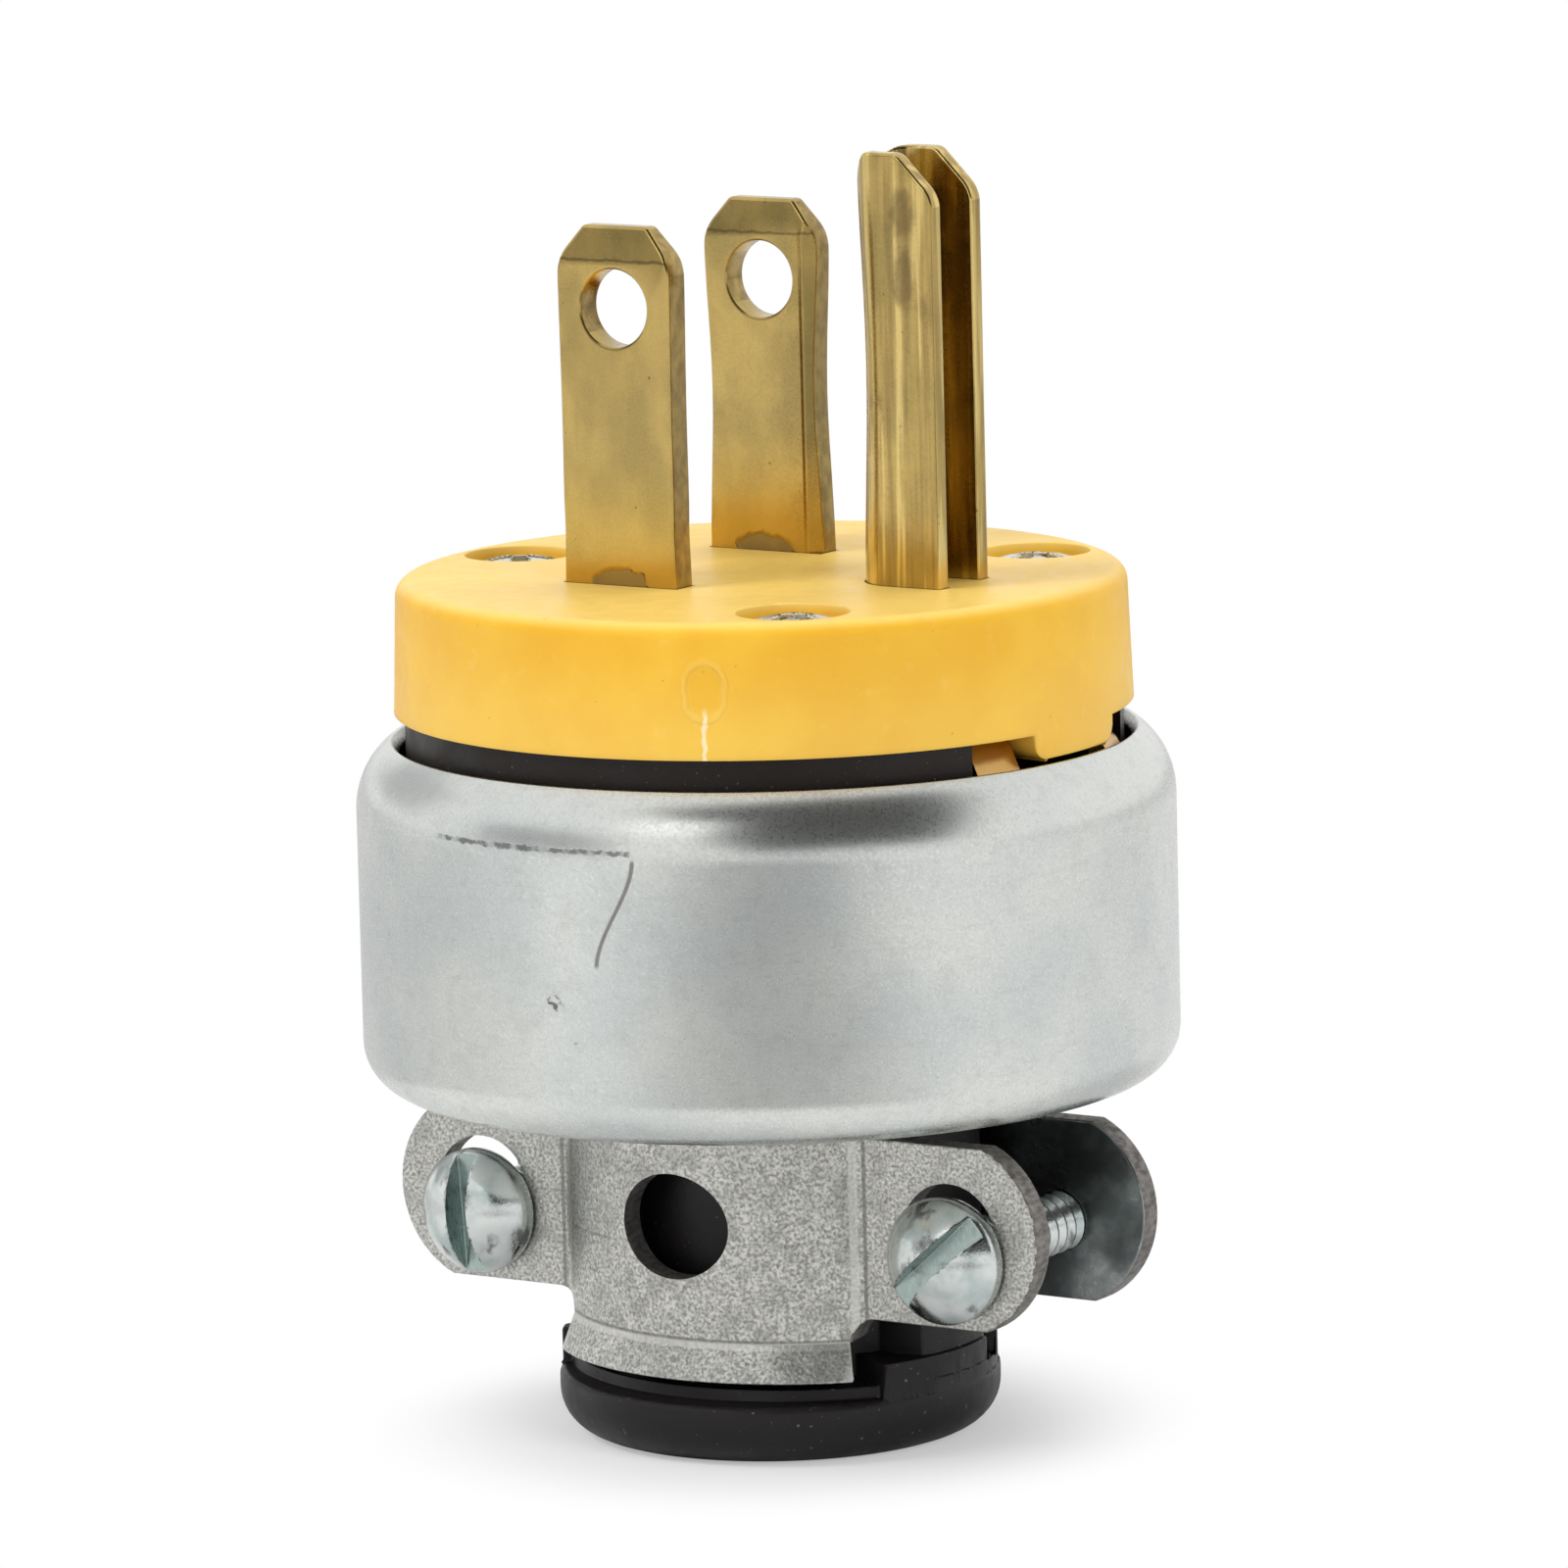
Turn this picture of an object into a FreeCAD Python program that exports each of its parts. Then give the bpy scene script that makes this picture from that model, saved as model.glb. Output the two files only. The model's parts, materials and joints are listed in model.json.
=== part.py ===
import FreeCAD, Part
import math
import os

# A grounded 15 A plug with a steel-armoured body, standing on its cord bush with the blades up.
# Origin: centre of the bush's lower face. +Z up, +X from the flat blades to the ground blade.
# The flat blades lie side by side along Y. All sizes are in millimetres.

V = FreeCAD.Vector
UP = V(0, 0, 1)
TINY = 1e-6

# Blades
BLADE_SPACING = 12.7
BLADE_WIDTH = 6.35
BLADE_THICKNESS = 1.5
BLADE_REACH = 17.1
BLADE_X = -3.35
BLADE_HOLE_RADIUS = 1.85
BLADE_HOLE_HEIGHT = 13.2
BLADE_TIP_WIDTH = 3.6
BLADE_TIP_LENGTH = 1.65
BLADE_TIP_THICKNESS = 0.9
BLADE_CORNER_RADIUS = 2.2
BLADE_EDGE_CHAMFER = 0.2
SHOULDER_WIDTH = 8.6
SHOULDER_HEIGHT = 1.9
TAB_DEPTH = 11.0
TAB_CORNER_RADIUS = 1.0
GROUND_OFFSET = 11.9
GROUND_WIDTH = 4.4
GROUND_WALL = 0.85
GROUND_LEG = 2.9
GROUND_REACH = 20.5
GROUND_TIP_HEIGHT = 2.0
GROUND_TIP_FLAT = 2.1
GROUND_NOSE_BACK = 1.0
GROUND_FOOT_HEIGHT = 0.8
GROUND_FOOT_FLARE = 0.6

# Yellow face cover
COVER_INSET = 0.2
COVER_THICKNESS = 6.35
COVER_DRAFT = 0.2
COVER_EDGE_RADIUS = 0.8
COUNTERBORE_RADIUS = 2.65
KEY_ANGLE = 23.0
KEY_DEPTH = 1.25
KEY_GAP = 0.265
SLOT_CLEARANCE = 0.08

# Black terminal body
BODY_INSET = 0.7
BODY_FLOOR = 2.55
BODY_DEPTH = 11.2
BODY_WINDOW_HALF = 6.7
POST_RADIUS = 3.0
POST_WEB = 3.4
POCKET_CLEARANCE = 0.1

# Ground strap
STRAP_THICKNESS = 0.8
STRAP_LEG_ANGLE = 17.2
STRAP_LEG_WIDTH = 2.6
STRAP_LEG_DEPTH = 7.6
STRAP_BEND_RADIUS = 0.4
STRAP_BEND_SETBACK = 1.2
STRAP_BACK = 3.4
TAB_SETBACK = 1.4
STRAP_PLATE_HALF = 6.0
STRAP_CONTACT_GAP = 0.05
STRAP_MOUTH_GAP = 0.2
TAB_WIDTH = 6.4

# Terminal screws
TERMINAL_RADIUS = 1.75
TERMINAL_HEAD_RADIUS = 3.6
TERMINAL_HEAD_HEIGHT = 1.8
TERMINAL_LENGTH = 4.4
TERMINAL_DROP = 6.7
THREAD_CLEARANCE = 0.04
SLOT_WIDTH = 0.9

# Face screws
FACE_SCREW_ANGLES = {"left": 180.0, "front": -51.0, "rear": 51.0}
FACE_SCREW_INSET = 4.95
FACE_SCREW_RADIUS = 1.75
FACE_HEAD_RADIUS = 2.35
FACE_HEAD_HEIGHT = 1.9
FACE_CROSS_HALF = 1.5
FACE_SLOT_TURN = 35.0
FACE_HEAD_SINK = 0.35
FACE_SCREW_TIP = 0.2
SCREW_HOLE_CLEARANCE = 0.15

# Drawn steel shell
SHELL_RADIUS = 19.65
SHELL_WALL = 0.8
SHELL_HEIGHT = 16.8
SHELL_CORNER = 2.3
SHELL_OPENING = 10.4
SHOULDER_INSET = 1.75
SHOULDER_DROP = 3.3
RIM_GAP = 1.35
COLLAR_RADIUS = 2.7
COLLAR_HEIGHT = 1.2

# Stamped cord clamp
CLAMP_SHEET = 1.3
BARREL_RADIUS = 11.3
BARREL_FRONT = 9.2
EAR_FRONT = 5.6
EAR_HALF_HEIGHT = 4.4
EAR_END_RADIUS = 4.8
EAR_BEND_RADIUS = 0.7
EAR_HOLE_RADIUS = 2.6
EAR_HEADROOM = 1.8
TONGUE_HALF = 7.9
TONGUE_HEIGHT = 1.1
TONGUE_FILLET = 1.1
LIP_HEIGHT = 1.8
LIP_FLARE = 0.7
NECK_HALF = 7.2
NECK_FILLET = 0.9
HOOK_COLLAR_GAP = 1.05
HOOK_REACH = 4.2
HOOK_CORNER = 1.5
WINDOW_RADIUS = 2.55
JAW_LIFT = 0.4

# Clamp screws
CLAMP_SCREW_X = 13.3
CLAMP_SCREW_RADIUS = 1.5
CLAMP_SCREW_LENGTH = 16.0
CLAMP_HEAD_RADIUS = 3.05
CLAMP_HEAD_HEIGHT = 2.3
CLAMP_HEAD_RIM = 0.6
CLAMP_HEAD_GAP = 0.2
CLAMP_SLOT_DEPTH = 1.1
CLAMP_SLOT_WIDTH = 1.15
CLAMP_SCREW_SEAT = 0.1
CLAMP_SLOT_TURNS = {"left": 4.0, "right": -48.0}

# Rubber cord bush
FLANGE_RADIUS = 10.65
FLANGE_HEIGHT = 3.6
FLANGE_EDGE_RADIUS = 2.1
FLANGE_TOP_RADIUS = 0.35
SEAT_HEIGHT = 0.6
SEAT_GAP = 0.1
LIP_SEAT = 0.5
SLEEVE_GAP = 1.1
SLEEVE_TOP = 18.6
CORD_RADIUS = 5.5
CORD_EDGE_RADIUS = 0.8
KEY_BLOCK_HALF = 2.8
KEY_BLOCK_TOP = 15.6
KEY_BLOCK_INSET = 0.35
CHEEK_HEIGHT = 1.1
CHEEK_ANGLE = 58.0
CHEEK_SLOT_ANGLE = 10.0
CHEEK_SLOT_TURN = 14.0
CHEEK_SLOT_DEPTH = 1.2

# Levels and places that follow from the sizes above
lip_bottom = FLANGE_HEIGHT
lip_bend = lip_bottom + LIP_HEIGHT
ear_bottom = lip_bend + TONGUE_HEIGHT
ear_level = ear_bottom + EAR_HALF_HEIGHT
ear_top = ear_level + EAR_HALF_HEIGHT
shell_bottom = ear_top + EAR_HEADROOM
shell_floor = shell_bottom + SHELL_WALL
neck_top = shell_floor + CLAMP_SHEET
collar_top = shell_floor + COLLAR_HEIGHT
rim_level = shell_bottom + SHELL_HEIGHT
cover_bottom = rim_level + RIM_GAP
cover_top = cover_bottom + COVER_THICKNESS
body_floor = cover_bottom - BODY_FLOOR
body_bottom = cover_bottom - BODY_DEPTH
shoulder_level = rim_level - SHOULDER_DROP
strap_under = cover_bottom - STRAP_THICKNESS
foot_bottom = strap_under - GROUND_FOOT_HEIGHT
tab_bottom = cover_bottom - TAB_DEPTH
terminal_level = cover_bottom - TERMINAL_DROP
head_top = cover_top - FACE_HEAD_SINK
head_seat = head_top - FACE_HEAD_HEIGHT
blade_y = BLADE_SPACING / 2
ground_x = BLADE_X + GROUND_OFFSET
ground_leg_end = ground_x + GROUND_LEG
strap_front = ground_leg_end + TAB_SETBACK
barrel_centre = BARREL_RADIUS - BARREL_FRONT
barrel_inner = BARREL_RADIUS - CLAMP_SHEET
sleeve_radius = barrel_inner - SLEEVE_GAP
clamp_hole_level = ear_level + JAW_LIFT
clamp_screw_level = clamp_hole_level - EAR_HOLE_RADIUS + CLAMP_SCREW_RADIUS + CLAMP_SCREW_SEAT
ear_end = CLAMP_SCREW_X + EAR_END_RADIUS
shoulder_radius = (SHOULDER_DROP ** 2 + SHOULDER_INSET ** 2) / (2 * SHOULDER_INSET)
shell_inner = SHELL_RADIUS - SHELL_WALL
rim_radius = SHELL_RADIUS - SHOULDER_INSET
cover_radius = rim_radius - COVER_INSET
body_radius = rim_radius - BODY_INSET
face_screw_circle = shell_inner - FACE_SCREW_INSET
rim_normal = math.atan2(SHOULDER_DROP, shoulder_radius - SHOULDER_INSET)
mouth_radius = rim_radius - SHELL_WALL * math.cos(rim_normal)
mouth_level = rim_level - SHELL_WALL * math.sin(rim_normal)
strap_contact = math.sqrt((shell_inner - STRAP_CONTACT_GAP) ** 2 - (STRAP_LEG_WIDTH / 2) ** 2)
strap_mouth = mouth_radius - STRAP_MOUTH_GAP
strap_bend = strap_mouth - STRAP_BEND_SETBACK
key_inner = (strap_front + STRAP_THICKNESS + KEY_GAP) / math.cos(math.radians(KEY_ANGLE / 2))
hook_half = (face_screw_circle * math.cos(math.radians(FACE_SCREW_ANGLES["rear"]))
             - COLLAR_RADIUS - HOOK_COLLAR_GAP)
beyond = 4 * SHELL_RADIUS


def cylinder(radius, low, high, x=0.0, y=0.0):
    return Part.makeCylinder(radius, high - low, V(x, y, low))


def box(x_span, y_span, z_span):
    corner = V(x_span[0], y_span[0], z_span[0])
    sides = [span[1] - span[0] for span in (x_span, y_span, z_span)]
    return Part.makeBox(sides[0], sides[1], sides[2], corner)


def polar(radius, degrees):
    turn = math.radians(degrees)
    return radius * math.cos(turn), radius * math.sin(turn)


def turned(shape, degrees):
    copy = shape.copy()
    copy.rotate(V(0, 0, 0), UP, degrees)
    return copy


def moved(shape, x=0.0, y=0.0, z=0.0):
    copy = shape.copy()
    copy.translate(V(x, y, z))
    return copy


def one_solid(shape):
    clean = shape.removeSplitter()
    return clean.Solids[0] if len(clean.Solids) == 1 else clean


def rounded_outline(corners, place):
    """A closed outline through (u, v, radius) corners, each corner rounded by its radius."""
    edges = []
    ends = []
    count = len(corners)
    for index in range(count):
        before = V(*corners[index - 1][:2], 0)
        here = V(*corners[index][:2], 0)
        after = V(*corners[(index + 1) % count][:2], 0)
        radius = corners[index][2]
        if radius <= 0:
            ends.append((here, here))
            continue
        to_before = (before - here).normalize()
        to_after = (after - here).normalize()
        half = to_before.getAngle(to_after) / 2
        reach = radius / math.tan(half)
        start = here + to_before * reach
        finish = here + to_after * reach
        middle = (to_before + to_after).normalize() * (radius / math.sin(half) - radius) + here
        edges.append(Part.Arc(place(start), place(middle), place(finish)).toShape())
        ends.append((start, finish))
    for index in range(count):
        start = ends[index - 1][1]
        finish = ends[index][0]
        if start.distanceToPoint(finish) > TINY:
            edges.append(Part.LineSegment(place(start), place(finish)).toShape())
    return Part.Face(Part.Wire(Part.__sortEdges__(edges)))


def flat_on_top(point):
    return V(point.x, point.y, 0)


def flat_on_front(point):
    return V(point.x, 0, point.y)


def plate_from_top(corners, low, high):
    face = rounded_outline(corners, flat_on_top)
    return moved(face, z=low).extrude(V(0, 0, high - low))


def plate_from_front(corners, near, far):
    face = rounded_outline(corners, flat_on_front)
    return moved(face, y=near).extrude(V(0, far - near, 0))


def bent_strip(path, thickness, bend_radius, width):
    """A strip along a path in the XZ plane, with its thickness to the right of the path."""
    points = [V(x, z, 0) for x, z in path]
    steps = [(b - a).normalize() for a, b in zip(points, points[1:])]
    sides = [V(step.y, -step.x, 0) for step in steps]
    outer = [(points[0].x, points[0].y, 0)]
    first = points[0] + sides[0] * thickness
    inner = [(first.x, first.y, 0)]
    for index in range(1, len(points) - 1):
        here = points[index]
        bisector = (sides[index - 1] + sides[index]).normalize()
        corner = here + bisector * (thickness / bisector.dot(sides[index]))
        turns_right = steps[index - 1].cross(steps[index]).z < 0
        outer_radius = bend_radius + (thickness if turns_right else 0)
        inner_radius = bend_radius + (0 if turns_right else thickness)
        outer.append((here.x, here.y, outer_radius))
        inner.append((corner.x, corner.y, inner_radius))
    last = points[-1] + sides[-1] * thickness
    outer.append((points[-1].x, points[-1].y, 0))
    inner.append((last.x, last.y, 0))
    return plate_from_front(outer + inner[::-1], -width / 2, width / 2)


def ground_bar(low, high, outward=0.0, inward=0.0):
    """A length of the ground blade's U section, open to +X, grown outwards and into the channel."""
    outer = GROUND_WIDTH / 2 + outward
    inner = GROUND_WIDTH / 2 - GROUND_WALL - inward
    end = ground_leg_end + outward
    edges = [
        Part.LineSegment(V(end, -outer, low), V(ground_x, -outer, low)),
        Part.Arc(V(ground_x, -outer, low), V(ground_x - outer, 0, low), V(ground_x, outer, low)),
        Part.LineSegment(V(ground_x, outer, low), V(end, outer, low)),
        Part.LineSegment(V(end, outer, low), V(end, inner, low)),
        Part.LineSegment(V(end, inner, low), V(ground_x, inner, low)),
        Part.Arc(V(ground_x, inner, low), V(ground_x - inner, 0, low), V(ground_x, -inner, low)),
        Part.LineSegment(V(ground_x, -inner, low), V(end, -inner, low)),
        Part.LineSegment(V(end, -inner, low), V(end, -outer, low)),
    ]
    section = Part.Face(Part.Wire([edge.toShape() for edge in edges]))
    return section.extrude(V(0, 0, high - low))


def face_screw_places():
    return {name: polar(face_screw_circle, angle) for name, angle in FACE_SCREW_ANGLES.items()}


def key_tongue():
    """The tongue under the cover that keys it between the two strap legs."""
    section = Part.makePolygon([
        V(key_inner, 0, cover_bottom),
        V(cover_radius, 0, cover_bottom),
        V(cover_radius, 0, cover_bottom - KEY_DEPTH),
        V(key_inner, 0, cover_bottom - KEY_DEPTH),
        V(key_inner, 0, cover_bottom),
    ])
    sector = Part.Face(section).revolve(V(0, 0, 0), UP, KEY_ANGLE)
    return turned(sector, -KEY_ANGLE / 2)


def make_face_cover():
    disc = Part.makeCone(cover_radius, cover_radius - COVER_DRAFT, COVER_THICKNESS, V(0, 0, cover_bottom))
    top_edge = [edge for edge in disc.Edges if edge.CenterOfMass.z > cover_top - TINY]
    disc = disc.makeFillet(COVER_EDGE_RADIUS, top_edge)
    cover = disc.fuse(key_tongue())
    half_width = BLADE_WIDTH / 2 + SLOT_CLEARANCE
    half_thick = BLADE_THICKNESS / 2 + SLOT_CLEARANCE
    through = (cover_bottom - KEY_DEPTH, cover_top + COVER_THICKNESS)
    cuts = [ground_bar(through[0], through[1], SLOT_CLEARANCE, SLOT_CLEARANCE)]
    for side in (-1, 1):
        x_span = (BLADE_X - half_width, BLADE_X + half_width)
        y_span = (side * blade_y - half_thick, side * blade_y + half_thick)
        cuts.append(box(x_span, y_span, through))
    for x, y in face_screw_places().values():
        cuts.append(cylinder(COUNTERBORE_RADIUS, head_seat, through[1], x, y))
        cuts.append(cylinder(FACE_SCREW_RADIUS + SCREW_HOLE_CLEARANCE, through[0], head_seat, x, y))
    return one_solid(cover.cut(cuts))


def blade_outline():
    tip = cover_top + BLADE_REACH
    half = BLADE_WIDTH / 2
    tip_half = BLADE_TIP_WIDTH / 2
    right_side = [
        (half, tab_bottom, TAB_CORNER_RADIUS),
        (half, cover_bottom - SHOULDER_HEIGHT, 0),
        (SHOULDER_WIDTH / 2, cover_bottom - SHOULDER_HEIGHT, 0),
        (SHOULDER_WIDTH / 2, cover_bottom, 0),
        (half, cover_bottom, 0),
        (half, tip - BLADE_TIP_LENGTH, BLADE_CORNER_RADIUS),
        (tip_half, tip, 0),
    ]
    left_side = [(-x, z, radius) for x, z, radius in reversed(right_side)]
    return [(BLADE_X + x, z, radius) for x, z, radius in right_side + left_side]


def make_flat_blade(side):
    centre = side * blade_y
    half = BLADE_THICKNESS / 2
    tip = cover_top + BLADE_REACH
    blade = plate_from_front(blade_outline(), centre - half, centre + half)
    long_edges = [
        edge for edge in blade.Edges
        if edge.CenterOfMass.z > cover_top and edge.BoundBox.ZLength > BLADE_REACH / 2
    ]
    blade = blade.makeChamfer(BLADE_EDGE_CHAMFER, long_edges)
    edge_cut = (BLADE_THICKNESS - BLADE_TIP_THICKNESS) / 2
    for face in (-1, 1):
        surface = centre + face * half
        wedge = Part.makePolygon([
            V(-beyond, surface, tip - BLADE_TIP_LENGTH),
            V(-beyond, surface - face * edge_cut, tip),
            V(-beyond, surface, tip),
            V(-beyond, surface, tip - BLADE_TIP_LENGTH),
        ])
        blade = blade.cut(Part.Face(wedge).extrude(V(2 * beyond, 0, 0)))
    holes = [
        (BLADE_HOLE_RADIUS, cover_top + BLADE_HOLE_HEIGHT),
        (TERMINAL_RADIUS + THREAD_CLEARANCE, terminal_level),
    ]
    for radius, level in holes:
        start = V(BLADE_X, centre - BLADE_THICKNESS, level)
        blade = blade.cut(Part.makeCylinder(radius, 2 * BLADE_THICKNESS, start, V(0, 1, 0)))
    return one_solid(blade)


def make_ground_blade():
    tip = cover_top + GROUND_REACH
    bar = ground_bar(foot_bottom, tip)
    left = ground_x - GROUND_WIDTH / 2
    right = ground_leg_end
    flat_start = left + GROUND_NOSE_BACK
    flat_end = flat_start + GROUND_TIP_FLAT
    nose = plate_from_front([
        (left, foot_bottom, 0),
        (right, foot_bottom, 0),
        (right, tip - GROUND_TIP_HEIGHT, GROUND_TIP_HEIGHT * 0.8),
        (flat_end, tip, GROUND_TIP_HEIGHT / 3),
        (flat_start, tip, GROUND_TIP_HEIGHT / 3),
        (left, tip - GROUND_TIP_HEIGHT, GROUND_TIP_HEIGHT / 2),
    ], -GROUND_WIDTH, GROUND_WIDTH)
    foot = ground_bar(foot_bottom, strap_under, GROUND_FOOT_FLARE)
    return one_solid(bar.common(nose).fuse(foot))


def strap_plate(arm_end, grow=0.0):
    """The strap's flat part under the cover: a plate round the ground blade and two arms."""
    back = ground_x - GROUND_WIDTH / 2 - STRAP_BACK
    half = STRAP_PLATE_HALF + grow
    low = strap_under - grow
    plate = box((back - grow, strap_front + grow), (-half, half), (low, cover_bottom))
    for side in (-1, 1):
        arm_half = STRAP_LEG_WIDTH / 2 + grow
        arm = box((ground_x, arm_end + grow), (-arm_half, arm_half), (low, cover_bottom))
        plate = plate.fuse(turned(arm, side * STRAP_LEG_ANGLE))
    return plate.removeSplitter()


def ground_tab():
    """The ground terminal tab, bent down from the plate between the two arms."""
    return bent_strip([
        (ground_leg_end, cover_bottom),
        (strap_front + STRAP_THICKNESS, cover_bottom),
        (strap_front + STRAP_THICKNESS, tab_bottom),
    ], STRAP_THICKNESS, STRAP_BEND_RADIUS, TAB_WIDTH)


def make_grounding_strap():
    tip_level = cover_bottom - STRAP_LEG_DEPTH
    leg = bent_strip([
        (strap_front, cover_bottom),
        (strap_bend, cover_bottom),
        (strap_mouth, mouth_level),
        (strap_contact, shoulder_level),
        (strap_contact, tip_level),
    ], STRAP_THICKNESS, STRAP_BEND_RADIUS, STRAP_LEG_WIDTH)
    legs = [turned(leg, side * STRAP_LEG_ANGLE) for side in (-1, 1)]
    strap = strap_plate(strap_front).fuse(legs + [ground_tab()])
    strap = strap.cut(ground_bar(foot_bottom, cover_top))
    hole_start = V(strap_front - STRAP_THICKNESS, 0, terminal_level)
    hole = Part.makeCylinder(TERMINAL_RADIUS + THREAD_CLEARANCE, 3 * STRAP_THICKNESS, hole_start, V(1, 0, 0))
    return one_solid(strap.cut(hole))


def make_terminal_body():
    disc = cylinder(body_radius, body_floor, cover_bottom)
    window_start = strap_front - STRAP_BEND_RADIUS - POCKET_CLEARANCE
    window = box((window_start, beyond), (-BODY_WINDOW_HALF, BODY_WINDOW_HALF), (body_bottom, cover_top))
    core_half = blade_y - BLADE_THICKNESS / 2 - POCKET_CLEARANCE
    core_back = BLADE_X - SHOULDER_WIDTH / 2
    core_x = (core_back, strap_front - POCKET_CLEARANCE)
    pieces = [box(core_x, (-core_half, core_half), (body_bottom, body_floor))]
    for angle in FACE_SCREW_ANGLES.values():
        post = cylinder(POST_RADIUS, collar_top, body_floor, face_screw_circle)
        web = box((0, face_screw_circle), (-POST_WEB / 2, POST_WEB / 2), (body_bottom, body_floor))
        pieces += [turned(post, angle), turned(web, angle)]
    body = disc.cut(window).fuse(pieces)
    cuts = [strap_plate(strap_bend, POCKET_CLEARANCE)]
    foot = GROUND_FOOT_FLARE + POCKET_CLEARANCE
    foot_x = (ground_x - GROUND_WIDTH / 2 - foot, strap_front)
    foot_y = (-GROUND_WIDTH / 2 - foot, GROUND_WIDTH / 2 + foot)
    cuts.append(box(foot_x, foot_y, (foot_bottom - POCKET_CLEARANCE, cover_bottom)))
    for side in (-1, 1):
        half_thick = BLADE_THICKNESS / 2 + POCKET_CLEARANCE
        y_span = (side * blade_y - half_thick, side * blade_y + half_thick)
        for width, low in ((SHOULDER_WIDTH, cover_bottom - SHOULDER_HEIGHT), (BLADE_WIDTH, collar_top)):
            half = width / 2 + POCKET_CLEARANCE
            cuts.append(box((BLADE_X - half, BLADE_X + half), y_span, (low, cover_bottom)))
        way_in = V(BLADE_X, side * blade_y, terminal_level)
        room = TERMINAL_RADIUS + SCREW_HOLE_CLEARANCE
        cuts.append(Part.makeCylinder(room, TERMINAL_LENGTH, way_in, V(0, -side, 0)))
        head_room = TERMINAL_HEAD_RADIUS + 2 * SCREW_HOLE_CLEARANCE
        head_start = V(BLADE_X, side * (blade_y + BLADE_THICKNESS / 2), terminal_level)
        cuts.append(Part.makeCylinder(head_room, body_radius, head_start, V(0, side, 0)))
    ground_way = V(strap_front, 0, terminal_level)
    room = TERMINAL_RADIUS + SCREW_HOLE_CLEARANCE
    cuts.append(Part.makeCylinder(room, TERMINAL_LENGTH, ground_way, V(-1, 0, 0)))
    for x, y in face_screw_places().values():
        cuts.append(cylinder(FACE_SCREW_RADIUS + SCREW_HOLE_CLEARANCE, shell_bottom, cover_top, x, y))
    return one_solid(body.cut(cuts))


def domed_screw(shank_radius, length, head_radius, head_height, rim_height):
    """A round-headed screw along +Z with its head's seat at z = 0 and its shank below."""
    profile = [
        Part.LineSegment(V(0, 0, -length), V(shank_radius, 0, -length)),
        Part.LineSegment(V(shank_radius, 0, -length), V(shank_radius, 0, 0)),
        Part.LineSegment(V(shank_radius, 0, 0), V(head_radius, 0, 0)),
        Part.LineSegment(V(head_radius, 0, 0), V(head_radius, 0, rim_height)),
    ]
    dome = head_height - rim_height
    dome_radius = (head_radius ** 2 + dome ** 2) / (2 * dome)
    half_turn = math.asin(head_radius / dome_radius) / 2
    middle = V(dome_radius * math.sin(half_turn), 0,
               head_height - dome_radius * (1 - math.cos(half_turn)))
    profile.append(Part.Arc(V(head_radius, 0, rim_height), middle, V(0, 0, head_height)))
    profile.append(Part.LineSegment(V(0, 0, head_height), V(0, 0, -length)))
    wire = Part.Wire([edge.toShape() for edge in profile])
    return Part.Face(wire).revolve(V(0, 0, 0), UP, 360)


def slot_cut(half_length, depth, head_height, turn, width=SLOT_WIDTH):
    across = (-width / 2, width / 2)
    slot = box((-half_length, half_length), across, (head_height - depth, 2 * head_height))
    return turned(slot, turn)


def screw_facing(shape, seat, direction):
    """The screw with its head towards a direction and its seat at a place."""
    turn = FreeCAD.Rotation(UP, direction)
    copy = shape.copy()
    copy.Placement = FreeCAD.Placement(seat, turn)
    return copy


def make_terminal_screw(seat, direction):
    rim = TERMINAL_HEAD_HEIGHT / 2
    screw = domed_screw(TERMINAL_RADIUS, TERMINAL_LENGTH, TERMINAL_HEAD_RADIUS, TERMINAL_HEAD_HEIGHT, rim)
    slot = slot_cut(2 * TERMINAL_HEAD_RADIUS, rim, TERMINAL_HEAD_HEIGHT, 0)
    return screw_facing(one_solid(screw.cut(slot)), seat, direction)


def make_face_screw(name):
    """A long screw with a slotted cross-recess head, sunk in the cover's counterbore."""
    x, y = face_screw_places()[name]
    length = head_seat - shell_bottom - FACE_SCREW_TIP
    rim = FACE_HEAD_HEIGHT / 2
    screw = domed_screw(FACE_SCREW_RADIUS, length, FACE_HEAD_RADIUS, FACE_HEAD_HEIGHT, rim)
    turn = FACE_SCREW_ANGLES[name] + FACE_SLOT_TURN
    slots = [
        slot_cut(FACE_CROSS_HALF, rim, FACE_HEAD_HEIGHT, turn),
        slot_cut(FACE_CROSS_HALF, rim, FACE_HEAD_HEIGHT, turn + 90),
        slot_cut(2 * FACE_HEAD_RADIUS, rim / 2, FACE_HEAD_HEIGHT, turn),
    ]
    screw = screw.cut(slots)
    return moved(one_solid(screw), x, y, head_seat)


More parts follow.
